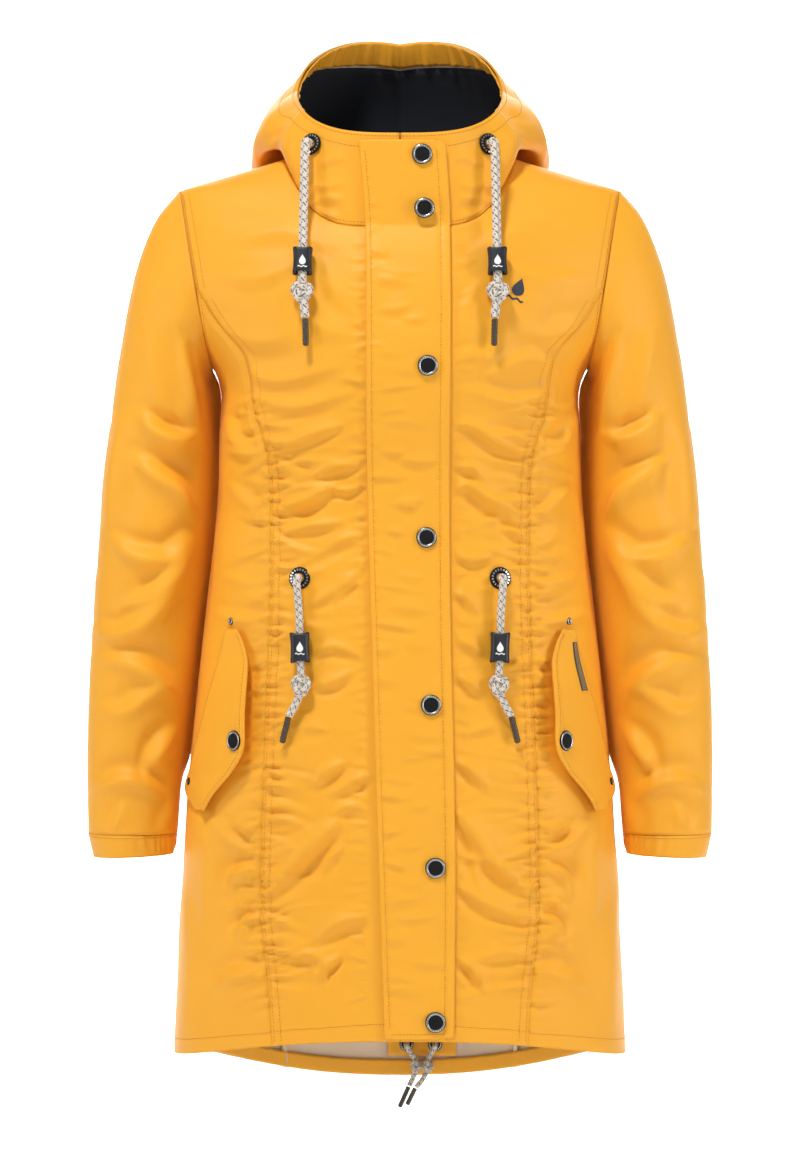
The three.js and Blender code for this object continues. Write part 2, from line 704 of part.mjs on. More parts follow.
for (const [name, side] of Object.entries(SIDES)) {
  const surface = (u, v) => pocketFlapPoint(side, u, v);
  const facing = normalOf(surface, -side);
  const outward = (u, v) => {
    const normal = facing(THREE.MathUtils.clamp(u, 0.02, 0.98), v);
    return normal.y > 0 ? normal.negate() : normal;
  };
  addPiece("pocket_flap_" + name, wallGeometry(4, 8, surface, outward, CLOTH), YELLOW);
  const at = surface(POCKET_SNAP.u, POCKET_SNAP.v);
  const up = outward(POCKET_SNAP.u, POCKET_SNAP.v);
  const snap = addPiece("pocket_snap_" + name, snapShape(), DARK_METAL);
  snap.position.copy(at.addScaledVector(up, 1));
  snap.quaternion.setFromUnitVectors(new THREE.Vector3(0, 0, 1), up);
  placeOn("rivet_upper_" + name, rivetShape(), side * 158, -438, SEAM_GAP, DARK_METAL);
  const rivet = addPiece("rivet_lower_" + name, rivetShape(), DARK_METAL);
  const rivetUp = outward(POCKET_RIVET.u, POCKET_RIVET.v);
  rivet.position.copy(surface(POCKET_RIVET.u, POCKET_RIVET.v).addScaledVector(rivetUp, 0.6));
  rivet.quaternion.setFromUnitVectors(new THREE.Vector3(0, 0, 1), rivetUp);
  if (side > 0) {
    const label = wallGeometry(
      1,
      4,
      (u, v) => {
        const place = [lerp(...LABEL.u, u), lerp(...LABEL.v, v)];
        return surface(...place).addScaledVector(outward(...place), 1 + SEAM_GAP);
      },
      (u, v) => outward(lerp(...LABEL.u, u), lerp(...LABEL.v, v)),
      0.9,
    );
    addPiece("pocket_label", label, NAVY);
  }
}

// ---------- inside of the back hem ----------
function backInside(x, z, inward) {
  const angle = Math.sign(x) * bodyAngle(Math.abs(x), z);
  const point = bodyPoint(1, "back", angle, z);
  return point.addScaledVector(bodyNormal(1, "back", angle, z), -inward);
}
const HEM_FACING = { reach: 186, height: 15 };
const hemFacing = wallGeometry(
  16,
  1,
  (u, v) => {
    const x = lerp(-HEM_FACING.reach, HEM_FACING.reach, u);
    return backInside(x, hemZ("back", x) + 1 + v * HEM_FACING.height, CLOTH + 6 * SEAM_GAP);
  },
  () => new THREE.Vector3(0, 1, 0),
  1.4,
);
addPiece("hem_facing_back", hemFacing, YELLOW);
const HEM_PATCH = { x: [-12, 56], z: [-871, -843] };
const patchInward = CLOTH + 0.8;
const hemPatch = wallGeometry(
  3,
  1,
  (u, v) => backInside(lerp(...HEM_PATCH.x, u), lerp(...HEM_PATCH.z, v), patchInward),
  () => new THREE.Vector3(0, 1, 0),
  1.4,
);
addPiece("hem_eyelet_patch", hemPatch, YELLOW);

// ---------- cords, their locks, eyelets and tips ----------
// Each cord is a list of places in the front view with the height of its middle off the cloth.
const CORD_SIDES = 8;
function cordGeometry(route, radius, knotAt, knotSize) {
  const curve = new THREE.CatmullRomCurve3(route, false, "centripetal");
  const outline = new THREE.Shape();
  for (let k = 0; k < CORD_SIDES; k += 1) {
    const turn = (k / CORD_SIDES) * 2 * Math.PI;
    const corner = [radius * Math.cos(turn), radius * Math.sin(turn)];
    if (k === 0) outline.moveTo(...corner);
    else outline.lineTo(...corner);
  }
  outline.closePath();
  const steps = Math.ceil(curve.getLength() / (radius * 3.4));
  const tube = new THREE.ExtrudeGeometry(outline, { steps, extrudePath: curve });
  const knot = new THREE.SphereGeometry(1, 10, 7).scale(...knotSize);
  knot.translate(knotAt.x, knotAt.y, knotAt.z);
  return geometryOf(solidOf(tube).add(solidOf(knot)));
}

// A lock is a rounded block that the cord runs down through.
function lockGeometry(width, depth, height, bore) {
  const [w, d, r] = [width / 2, depth / 2, depth * 0.36];
  const outline = new THREE.Shape();
  outline.moveTo(-w + r, -d);
  outline.lineTo(w - r, -d);
  outline.absarc(w - r, -d + r, r, -Math.PI / 2, 0);
  outline.lineTo(w, d - r);
  outline.absarc(w - r, d - r, r, 0, Math.PI / 2);
  outline.lineTo(-w + r, d);
  outline.absarc(-w + r, d - r, r, Math.PI / 2, Math.PI);
  outline.lineTo(-w, -d + r);
  outline.absarc(-w + r, -d + r, r, Math.PI, 1.5 * Math.PI);
  const hole = new THREE.Path();
  hole.absarc(0, 0, bore, 0, 2 * Math.PI, true);
  outline.holes.push(hole);
  const options = { depth: height, bevelEnabled: false, curveSegments: 3, steps: 1 };
  return new THREE.ExtrudeGeometry(outline, options).translate(0, 0, -height / 2);
}

function tipBetween(name, from, to, radius) {
  const axis = to.clone().sub(from);
  const length = axis.length();
  const profile = [[0, 0], [radius, 0], [radius, length - 3], [radius * 0.6, length], [0, length]];
  const tip = addPiece(name, turned(profile, 10), DARK_METAL);
  tip.position.copy(from);
  tip.quaternion.setFromUnitVectors(new THREE.Vector3(0, 0, 1), axis.normalize());
}

// Routes are x, y, z for the wearer's right side. The lock and the tip lie on two points each.
const DRAWCORDS = {
  hood: {
    radius: CORD_RADIUS,
    eyelet: { at: [-82.4, -75.6, 4.5], axis: [-0.49, -0.85, 0.2] },
    route: [
      [-83.8, -78, 5.1],
      [-86.7, -83.3, 6],
      [-87.6, -88, -3],
      [-88, -92, -20],
      [-88.4, -98, -45],
      [-88.8, -105.5, -74],
      [-89, -112.5, -93],
      [-89.2, -116, -107.5],
      [-89.4, -119.5, -122],
      [-89.5, -121, -130],
      [-88, -123, -146],
      [-86.5, -123.6, -160],
    ],
    lock: { span: [[-89, -112.5, -93], [-89.4, -119.5, -122]], size: [19, 14.5, 27.5] },
    knot: { at: [-89.5, -121, -130.5], size: [11.5, 8, 7] },
    tip: [[-86.5, -123.7, -161.2], [-86, -124.5, -186]],
  },
  waist: {
    radius: WAIST_CORD_RADIUS,
    eyelet: { at: [-92, -103.6, -398], axis: [-0.32, -0.94, 0.1] },
    route: [
      [-92.8, -106.3, -397.8],
      [-94.5, -112.2, -397.6],
      [-94.2, -115, -408],
      [-92.4, -116, -430],
      [-92, -117.5, -446],
      [-91.5, -119, -461.5],
      [-91, -120.5, -477],
      [-90.5, -121.2, -490],
      [-91.5, -121, -503],
      [-96, -120.5, -514],
      [-101.5, -119.5, -524],
    ],
    lock: { span: [[-92, -117.5, -446], [-91, -120.5, -477]], size: [19, 13.5, 30] },
    knot: { at: [-90.5, -121.4, -493], size: [10, 7.5, 11] },
    tip: [[-102.1, -119.4, -525.2], [-108, -117, -549]],
  },
};

const placeFor = (side) => ([x, y, z]) => new THREE.Vector3(-side * x, y, z);

function drawcord(kind, name, side) {
  const { radius, eyelet, route, lock, knot, tip } = DRAWCORDS[kind];
  const place = placeFor(side);
  const cord = cordGeometry(route.map(place), radius, place(knot.at), knot.size);
  addPiece(kind + "_cord_" + name, cord, BRAID);
  const ring = addPiece(kind + "_eyelet_" + name, eyeletShape(10.3, radius + 0.7), DARK_METAL);
  const axis = place(eyelet.axis).normalize();
  ring.position.copy(place(eyelet.at)).addScaledVector(axis, 2 * SEAM_GAP);
  ring.quaternion.setFromUnitVectors(new THREE.Vector3(0, 0, 1), axis);
  const [top, bottom] = lock.span.map(place);
  const block = addPiece(kind + "_lock_" + name, lockGeometry(...lock.size, radius + 0.9), PLASTIC);
  block.position.copy(top.clone().lerp(bottom, 0.5));
  block.quaternion.setFromUnitVectors(new THREE.Vector3(0, 0, 1), top.sub(bottom).normalize());
  tipBetween(kind + "_tip_" + name, ...tip.map(place), 3);
}
for (const [name, side] of Object.entries(SIDES)) {
  drawcord("hood", name, side);
  drawcord("waist", name, side);
}

// The hem cord's two ends come out of the patch inside the back and are knotted together.
const HEM_CORDS = {
  right: {
    route: [
      [6.5, 134.6, -859.5],
      [6.5, 129, -860.5],
      [10, 128, -866],
      [15, 127.5, -874],
      [16.5, 127.5, -881],
      [13.5, 128, -890],
      [9, 128.5, -899.5],
    ],
    knotAt: [15, 127.5, -881],
    tip: [[8.5, 128.5, -900.6], [-0.5, 128, -921]],
  },
  left: {
    route: [
      [34.8, 134, -859.5],
      [34.8, 128.5, -860.5],
      [31.5, 127.5, -866],
      [27.5, 127, -874],
      [26.5, 126, -881],
      [24, 122, -889.5],
      [19.5, 120.8, -896],
      [15.8, 120.8, -900],
    ],
    knotAt: [28.3, 127.5, -881],
    tip: [[15, 120.8, -900.9], [7, 121, -917.5]],
  },
};
const HEM_KNOT_SIZE = [6.2, 6.5, 8.5];
for (const [name, { route, knotAt, tip }] of Object.entries(HEM_CORDS)) {
  const place = placeFor(-1);
  const cord = cordGeometry(route.map(place), HEM_CORD_RADIUS, place(knotAt), HEM_KNOT_SIZE);
  addPiece("hem_cord_" + name, cord, BRAID);
  const eye = addPiece("hem_eyelet_" + name, eyeletShape(7, HEM_CORD_RADIUS + 0.8), DARK_METAL);
  eye.position.copy(backInside(route[0][0], route[0][2], patchInward + 1.4 + 3 * SEAM_GAP));
  eye.quaternion.setFromUnitVectors(new THREE.Vector3(0, 0, 1), new THREE.Vector3(0, -1, 0));
  tipBetween("hem_tip_" + name, ...tip.map(place), 2.5);
}

export default garment;
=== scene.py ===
"""The rain parka's visual: coated cloth shells on the forms of the part, with folds, stitches, braid and fittings."""

import math

import bpy
import numpy as np
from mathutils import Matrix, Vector


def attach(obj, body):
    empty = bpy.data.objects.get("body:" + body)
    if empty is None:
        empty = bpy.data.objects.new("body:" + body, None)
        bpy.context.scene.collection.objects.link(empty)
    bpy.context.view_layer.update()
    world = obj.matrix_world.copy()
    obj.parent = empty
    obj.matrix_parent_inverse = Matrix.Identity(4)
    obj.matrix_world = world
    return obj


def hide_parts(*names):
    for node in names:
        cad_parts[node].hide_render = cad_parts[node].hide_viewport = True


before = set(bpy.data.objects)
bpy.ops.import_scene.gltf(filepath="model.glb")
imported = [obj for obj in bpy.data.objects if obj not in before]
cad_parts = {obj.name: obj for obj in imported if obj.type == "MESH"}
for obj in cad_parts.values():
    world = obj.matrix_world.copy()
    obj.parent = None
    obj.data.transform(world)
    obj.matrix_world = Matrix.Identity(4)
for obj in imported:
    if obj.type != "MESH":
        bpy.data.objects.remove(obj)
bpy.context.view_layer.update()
MM = 0.001

# Camera: level, square to the front, at the height of the garment's middle.
# Its long lens keeps the sleeves and hem in nearly flat view.
camera_data = bpy.data.cameras.new("front_camera")
camera_data.lens = 105.26
camera_data.sensor_width = 36
camera_data.clip_start = 0.1
camera_data.clip_end = 30
camera = bpy.data.objects.new("front_camera", camera_data)
camera.location = (0, -3.2, -0.396)
camera.rotation_euler = (math.radians(90), 0, 0)
bpy.context.scene.collection.objects.link(camera)
bpy.context.scene.camera = camera
bpy.context.scene.view_settings.view_transform = "Standard"


# Drawcords: two at the hood, two at the waist and two at the back hem, all braided polyester.
# Each is an off-white braid with dark flecks that leaves a metal eyelet and ends in a crimped tip.
def make_mesh(name, points, faces, smooth=True):
    """A linked object of points in millimetres and faces of three or four corners."""
    mesh = bpy.data.meshes.new(name)
    mesh.from_pydata([tuple(p) for p in np.asarray(points) * MM], [], [tuple(f) for f in faces])
    mesh.update()
    if smooth:
        mesh.shade_smooth()
    piece = bpy.data.objects.new(name, mesh)
    bpy.context.scene.collection.objects.link(piece)
    return piece


def take_place(piece, materials, nodes=()):
    """Gives a piece its materials, its body and the CAD nodes it stands for."""
    for material in materials:
        piece.data.materials.append(material)
    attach(piece, "root")
    if nodes:
        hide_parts(*nodes)
    return piece


def plain_material(name, colour, roughness, metallic=0.0, coat=0.0):
    """A Principled material with its node tree ready for more."""
    material = bpy.data.materials.new(name)
    material.use_nodes = True
    surface = material.node_tree.nodes["Principled BSDF"]
    surface.inputs["Base Color"].default_value = (*colour, 1)
    surface.inputs["Roughness"].default_value = roughness
    surface.inputs["Metallic"].default_value = metallic
    surface.inputs["Coat Weight"].default_value = coat
    return material


def add_node(material, kind, **settings):
    """A node whose plain settings and numbered or named inputs are set."""
    node = material.node_tree.nodes.new(kind)
    for key, value in settings.items():
        if hasattr(node, key):
            setattr(node, key, value)
        else:
            node.inputs[key.replace("_", " ")].default_value = value
    return node


def wire(material, source, target, out=0, into=0):
    """A link between two nodes of a material."""
    material.node_tree.links.new(source.outputs[out], target.inputs[into])


def fine_bump(material, scale, distance, strength=1.0):
    """Fine grain on a material, from noise over the object's own coordinates."""
    place = add_node(material, "ShaderNodeTexCoord")
    noise = add_node(material, "ShaderNodeTexNoise", Scale=scale, Detail=3.0)
    bump = add_node(material, "ShaderNodeBump", Strength=strength, Distance=distance)
    wire(material, place, noise, "Object", "Vector")
    wire(material, noise, bump, "Fac", "Height")
    wire(material, bump, material.node_tree.nodes["Principled BSDF"], 0, "Normal")


def chained(material, operation, first, second=None):
    """A Math node on a socket and a number or socket, giving its output socket."""
    node = add_node(material, "ShaderNodeMath", operation=operation)
    for k, value in enumerate((first, second)):
        if isinstance(value, bpy.types.NodeSocket):
            material.node_tree.links.new(value, node.inputs[k])
        elif value is not None:
            node.inputs[k].default_value = value
    return node.outputs[0]


def braid_finish():
    """Strands that cross one over and one under, with every fourth one dark, read from two strand counts."""
    material = plain_material("braided_polyester", (0.70, 0.62, 0.52), 0.85)
    surface = material.node_tree.nodes["Principled BSDF"]
    one_way = add_node(material, "ShaderNodeAttribute", attribute_name="one_way").outputs["Fac"]
    other_way = add_node(material, "ShaderNodeAttribute", attribute_name="other_way").outputs["Fac"]
    count = [chained(material, "FLOOR", way) for way in (one_way, other_way)]
    over = chained(material, "PINGPONG", chained(material, "ADD", *count), 1.0)
    dark = [chained(material, "LESS_THAN", chained(material, "FLOORED_MODULO", way, 4.0), 0.5) for way in count]
    fleck = chained(material, "MULTIPLY", dark[0], over)
    under = chained(material, "SUBTRACT", 1.0, over)
    fleck = chained(material, "MAXIMUM", fleck, chained(material, "MULTIPLY", dark[1], under))
    across = [chained(material, "PINGPONG", way, 0.5) for way in (one_way, other_way)]
    crown = chained(material, "MULTIPLY", across[0], over)
    crown = chained(material, "ADD", crown, chained(material, "MULTIPLY", across[1], under))
    colour = add_node(material, "ShaderNodeMix", data_type="RGBA")
    colour.inputs[6].default_value = (0.78, 0.71, 0.62, 1)
    colour.inputs[7].default_value = (0.13, 0.12, 0.12, 1)
    material.node_tree.links.new(chained(material, "MULTIPLY", fleck, 0.9), colour.inputs[0])
    wire(material, colour, surface, 2, "Base Color")
    bump = add_node(material, "ShaderNodeBump", Strength=0.9, Distance=0.0006)
    material.node_tree.links.new(crown, bump.inputs["Height"])
    wire(material, bump, surface, 0, "Normal")
    return material


braid_material = braid_finish()
tip_material = plain_material("crimped_tip", (0.10, 0.085, 0.07), 0.38, 0.85)
fine_bump(tip_material, 900, 0.00015, 0.5)
lock_material = plain_material("lock_navy", (0.012, 0.014, 0.022), 0.42)
fine_bump(lock_material, 1500, 0.0001, 0.4)
print_material = plain_material("white_print", (0.86, 0.85, 0.83), 0.6)
enamel_material = plain_material("black_enamel", (0.006, 0.006, 0.007), 0.6)
enamel_material.node_tree.nodes["Principled BSDF"].inputs["Specular IOR Level"].default_value = 0.2
fine_bump(enamel_material, 1400, 0.0001, 0.3)
silver_material = plain_material("worn_nickel", (0.62, 0.61, 0.59), 0.28, 0.95)
fine_bump(silver_material, 1100, 0.0001, 0.5)


def run_of(line):
    """The distance along a line of points at each of them."""
    return np.r_[0, np.cumsum(np.linalg.norm(np.diff(line, axis=0), axis=1))]


def read_along(table, run, at):
    """Rows of three values read at distances along a line."""
    return np.stack([np.interp(at, run, table[:, k]) for k in range(3)], axis=1)


def smooth_route(places, spacing):
    """A smooth line through places, with a point every spacing millimetres."""
    places = np.array(places, float)
    knots = np.r_[0, np.cumsum(np.sqrt(np.linalg.norm(np.diff(places, axis=0), axis=1)))]
    ends = [2 * places[0] - places[1], *places, 2 * places[-1] - places[-2]]
    times = [2 * knots[0] - knots[1], *knots, 2 * knots[-1] - knots[-2]]
    line = []
    for i in range(1, len(ends) - 2):
        p0, p1, p2, p3 = ends[i - 1 : i + 3]
        t0, t1, t2, t3 = times[i - 1 : i + 3]
        for t in np.linspace(t1, t2, 24, endpoint=False):
            a1 = (t1 - t) / (t1 - t0) * p0 + (t - t0) / (t1 - t0) * p1
            a2 = (t2 - t) / (t2 - t1) * p1 + (t - t1) / (t2 - t1) * p2
            a3 = (t3 - t) / (t3 - t2) * p2 + (t - t2) / (t3 - t2) * p3
            b1 = (t2 - t) / (t2 - t0) * a1 + (t - t0) / (t2 - t0) * a2
            b2 = (t3 - t) / (t3 - t1) * a2 + (t - t1) / (t3 - t1) * a3
            line.append((t2 - t) / (t2 - t1) * b1 + (t - t1) / (t2 - t1) * b2)
    line = np.array([*line, places[-1]])
    return evenly_spaced(line, spacing)


def evenly_spaced(line, spacing):
    """The same line with its points an equal length apart, near the given spacing."""
    run = run_of(line)
    return read_along(line, run, np.linspace(0, run[-1], max(2, round(run[-1] / spacing)) + 1))


def line_length(line):
    """The length of a line of points."""
    return float(np.linalg.norm(np.diff(line, axis=0), axis=1).sum())


def braided(name, line, radius, closed=False, around=24, strands=12):
    """A braided tube on a line. Its strand counts both ways are kept for the braid's finish."""
    count = len(line)
    ahead = np.roll(line, -1, axis=0) - np.roll(line, 1, axis=0)
    if not closed:
        ahead[0] = line[1] - line[0]
        ahead[-1] = line[-1] - line[-2]
    ahead /= np.linalg.norm(ahead, axis=1)[:, None]
    sides = [np.cross(ahead[0], [0.9, 0.1, 0.1])]
    for k in range(1, count):
        side = sides[-1] - ahead[k] * np.dot(sides[-1], ahead[k])
        sides.append(side / np.linalg.norm(side))
    sides[0] = sides[0] / np.linalg.norm(sides[0])
    sides = np.array(sides)
    ups = np.cross(ahead, sides)
    step = line_length(line) / (count - 1)
    turn = np.linspace(0, 2 * math.pi, around, endpoint=False)
    run = np.arange(count)[:, None] * step / (0.5 * radius)
    one_way = strands * turn[None, :] / (2 * math.pi) + run
    other_way = strands * turn[None, :] / (2 * math.pi) - run + 3000
    lumps = 1 + 0.025 * np.sin(2 * math.pi * one_way / 2) * np.sin(2 * math.pi * other_way / 2)
    reach = radius * 0.99 * lumps
    points = line[:, None] + reach[..., None] * (
        np.cos(turn)[None, :, None] * sides[:, None] + np.sin(turn)[None, :, None] * ups[:, None]
    )
    faces = []
    for j in range(count if closed else count - 1):
        for i in range(around):
            near, far = j * around, (j + 1) % count * around
            faces.append((near + i, near + (i + 1) % around, far + (i + 1) % around, far + i))
    if not closed:
        faces.append(tuple(reversed(range(around))))
        faces.append(tuple(range((count - 1) * around, count * around)))
    piece = make_mesh(name, points.reshape(-1, 3), faces)
    for key, value in (("one_way", one_way), ("other_way", other_way)):
        kept = piece.data.attributes.new(key, "FLOAT", "POINT")
        kept.data.foreach_set("value", value.ravel())
    return piece


def turned(name, profile, centre, axis, sides=48):
    """A turned piece. Profile rows are radius, height, material of the band up to the next row, and its marks.

    Marks are how many plain dashes of the second material stand round that band."""
    axis = Vector(axis).normalized()
    turn = Vector((0, 0, 1)).rotation_difference(axis)
    points, faces, kinds = [], [], []
    for radius, height, _, _ in profile:
        for k in range(sides):
            angle = 2 * math.pi * k / sides
            spot = turn @ Vector((radius * math.cos(angle), radius * math.sin(angle), height))
            points.append(Vector(centre) + spot)
    for j, (_, _, kind, marks) in enumerate(profile[:-1]):
        for k in range(sides):
            near, far = j * sides, (j + 1) * sides
            faces.append((near + k, near + (k + 1) % sides, far + (k + 1) % sides, far + k))
            marked = marks and (k * marks / sides) % 1 < 0.5
            kinds.append(1 - kind if marked else kind)
    first, last = profile[0][0], profile[-1][0]
    if first > 0 and (first, profile[0][1]) != (last, profile[-1][1]):
        faces.append(tuple(reversed(range(sides))))
        kinds.append(profile[0][2])
        faces.append(tuple(range((len(profile) - 1) * sides, len(profile) * sides)))
        kinds.append(profile[-1][2])
    piece = make_mesh(name, points, faces)
    piece.data.polygons.foreach_set("material_index", kinds)
    return piece


def trefoil(centre, reach, spacing):
    """The line of a tied knot round a centre. Reach is how far it spreads each way."""
    turn = np.linspace(0, 2 * math.pi, 400)
    line = np.stack(
        [
            (2 + np.cos(3 * turn)) * np.cos(2 * turn + 0.5) / 3 * reach[0],
            (2 + np.cos(3 * turn)) * np.sin(2 * turn + 0.5) / 3 * reach[2],
            np.sin(3 * turn) * reach[1],
        ],
        axis=1,
    )
    return evenly_spaced(line[:, [0, 2, 1]] + np.array(centre), spacing)[:-1]


def cord_lock(name, top, bottom, size, bore):
    """A flat block with hollowed sides and dished ends, drilled along its height."""
    top, bottom = Vector(top), Vector(bottom)
    turn = Vector((0, 0, 1)).rotation_difference((top - bottom).normalized())
    width, depth, height = size
    around, rows = 56, 22
    angles = np.linspace(0, 2 * math.pi, around, endpoint=False)
    cos, sin = np.cos(angles), np.sin(angles)
    points = []
    for v in np.linspace(-1, 1, rows):
        soft = 1 - 0.16 * max(0, (abs(v) - 0.84) / 0.16) ** 2
        waist = 1 - 0.11 * (1 - v * v)
        x = np.sign(cos) * np.abs(cos) ** 0.55 * width / 2 * waist * soft
        y = np.sign(sin) * np.abs(sin) ** 0.7 * depth / 2 * soft
        dish = 2.6 * (1 - (2 * np.abs(x) / width) ** 2) * abs(v) ** 3
        z = v * height / 2 - np.sign(v) * dish
        points.append(np.stack([x, y, z], axis=1))
    for v in (1, -1):
        rim = np.stack([bore * cos, bore * sin, np.full(around, v * (height / 2 - 3.4))], axis=1)
        points.append(rim)
    flat = [Vector(p) for ring in points for p in ring]
    spots = [(top + bottom) / 2 + turn @ p for p in flat]
    faces = []
    for j in range(rows + 2):
        near, far = j * around, (j + 1) % (rows + 2) * around
        for i in range(around):
            faces.append((near + i, near + (i + 1) % around, far + (i + 1) % around, far + i))
    return make_mesh(name, spots, faces)


def raindrop(name, centre, size, lean=0.0, thickness=0.3):
    """A plain printed drop over a short wave, thin and flat, facing the front."""
    outline = []
    for k in range(28):
        angle = 2 * math.pi * k / 28
        pinch = (1 + math.cos(angle)) / 2
        outline.append((0.42 * math.sin(angle) * (1 - pinch ** 1.6), 0.16 - 0.5 * math.cos(angle + math.pi)))
    wave = [(-0.45 + 0.9 * k / 24, -0.47 + 0.05 * math.sin(k * math.pi / 6)) for k in range(25)]
    wave += [(x, z - 0.11) for x, z in reversed(wave)]
    points, faces = [], []
    for shape in (outline, wave):
        for depth in (0, thickness):
            for x, z in shape:
                across = x * math.cos(lean) - z * math.sin(lean)
                up = x * math.sin(lean) + z * math.cos(lean)
                points.append((centre[0] + size * across, centre[1] + depth, centre[2] + size * up))
        count = len(shape)
        base = len(points) - 2 * count
        if shape is wave:
            for k in range(24):
                faces.append((base + k, base + k + 1, base + 48 - k, base + 49 - k))
        else:
            faces.append(tuple(base + k for k in range(count)))
            faces.append(tuple(base + count + k for k in reversed(range(count))))
        for k in range(count):
            after = (k + 1) % count
            faces.append((base + k, base + count + k, base + count + after, base + after))
    return make_mesh(name, points, faces, smooth=False)


CORD_RADIUS = {"hood": 4.1, "waist": 3.6, "hem": 2.6}
DRAWCORDS = {
    "hood": {
        "eyelet": [(-82.4, -75.6, 4.5), (-0.49, -0.85, 0.2)],
        "route": [
            (-83.8, -78, 5.1),
            (-86.7, -83.3, 6),
            (-87.6, -88, -3),
            (-88, -92, -20),
            (-88.4, -98, -45),
            (-88.8, -105.5, -74),
            (-89, -112.5, -93),
            (-89.2, -116, -107.5),
            (-89.4, -119.5, -122),
            (-89.5, -121, -130),
            (-88, -123, -146),
            (-86.5, -123.6, -160),
        ],
        "lock": [(-89, -112.5, -93), (-89.4, -119.5, -122), (19, 14.5, 27.5)],
        "knot": [(-89.5, -122, -136), (7.8, 4.2, 7.2)],
        "tip": [(-86.5, -123.7, -161.2), (-86, -124.5, -186)],
    },
    "waist": {
        "eyelet": [(-92, -103.6, -398), (-0.32, -0.94, 0.1)],
        "route": [
            (-92.8, -106.3, -397.8),
            (-94.5, -112.2, -397.6),
            (-94.2, -115, -408),
            (-92.4, -116, -430),
            (-92, -117.5, -446),
            (-91.5, -119, -461.5),
            (-91, -120.5, -477),
            (-90.5, -121.2, -490),
            (-91.5, -121, -503),
            (-96, -120.5, -514),
            (-101.5, -119.5, -524),
        ],
        "lock": [(-92, -117.5, -446), (-91, -120.5, -477), (19, 13.5, 30)],
        "knot": [(-90.5, -121.6, -496), (6.8, 4, 8.2)],
        "tip": [(-102.1, -119.4, -525.2), (-108, -117, -549)],
    },
}
RIGHT, LEFT = ("right", -1), ("left", 1)


def on_side(side):
    """Turns places given for the wearer's right into places on either side."""
    return lambda spot: (-side * spot[0], *spot[1:])


def ridged_tip(name, start, end, radius):
    """A crimped metal tip with rolled ridges."""
    start, end = np.array(start), np.array(end)
    length = np.linalg.norm(end - start)
    profile = [(0.01, 0, 0, 0), (radius * 0.9, 0, 0, 0)]
    for k in range(36):
        share = k / 35
        ridge = 0.86 + 0.14 * abs(math.sin(share * math.pi * 7))
        shut = 1 - 0.35 * max(0, (share - 0.9) / 0.1) ** 2
        profile.append((radius * ridge * shut, 0.2 + share * (length - 0.4), 0, 0))
    profile.append((0.01, length, 0, 0))
    return turned(name, profile, start, end - start, 20)


def eyelet(name, centre, axis, outer, hole):
    """A black enamelled eyelet with a ring of plain silver dashes and a rolled lip."""
    band = outer - hole
    profile = [
        (hole, -0.6, 0, 0),
        (outer, -0.6, 0, 0),
        (outer, 0.5, 0, 0),
        (outer - 0.12 * band, 1.25, 0, 0),
        (outer - 0.24 * band, 1.5, 0, 18),
        (outer - 0.56 * band, 1.5, 0, 0),
        (outer - 0.66 * band, 1.7, 0, 0),
        (outer - 0.82 * band, 2.0, 0, 0),
        (outer - 0.95 * band, 1.7, 0, 0),
        (hole, 1.0, 0, 0),
        (hole, -0.6, 0, 0),
    ]
    return turned(name, profile, centre, axis, 72)


def drawcord(kind, name, side):
    """One hood or waist drawcord with its eyelet, lock, knot and tip."""
    facts = DRAWCORDS[kind]
    place = on_side(side)
    radius = CORD_RADIUS[kind]
    line = smooth_route([place(spot) for spot in facts["route"]], 0.8)
    cord = braided(f"braid_{kind}_{name}", line, radius)
    take_place(cord, [braid_material], [f"{kind}_cord_{name}"])
    centre, reach = facts["knot"]
    loop = trefoil(place(centre), reach, 0.75)
    knot = braided(f"knot_{kind}_{name}", loop, radius * 0.86, closed=True, around=20)
    take_place(knot, [braid_material])
    top, bottom, size = facts["lock"]
    top, bottom = place(top), place(bottom)
    lock = cord_lock(f"lock_{kind}_{name}", top, bottom, size, radius + 0.9)
    take_place(lock, [lock_material], [f"{kind}_lock_{name}"])
    middle = (np.array(top) + np.array(bottom)) / 2
    mark = raindrop(f"mark_{kind}_{name}", middle - [0, size[1] / 2 + 0.35, 0.5], 9.5)
    lean = (top[1] - bottom[1]) / (top[2] - bottom[2])
    for vertex in mark.data.vertices:
        vertex.co.y += lean * (vertex.co.z - middle[2] * MM)
    take_place(mark, [print_material])
    tip = ridged_tip(f"crimp_{kind}_{name}", *[place(spot) for spot in facts["tip"]], 3)
    take_place(tip, [tip_material], [f"{kind}_tip_{name}"])
    spot, axis = facts["eyelet"]
    axis = np.array(place(axis)) / np.linalg.norm(axis)
    ring = eyelet(f"ring_{kind}_{name}", np.array(place(spot)) + 0.7 * axis, axis, 10.3, radius + 0.9)
    take_place(ring, [enamel_material, silver_material], [f"{kind}_eyelet_{name}"])


for name, side in (RIGHT, LEFT):
    drawcord("hood", name, side)
    drawcord("waist", name, side)

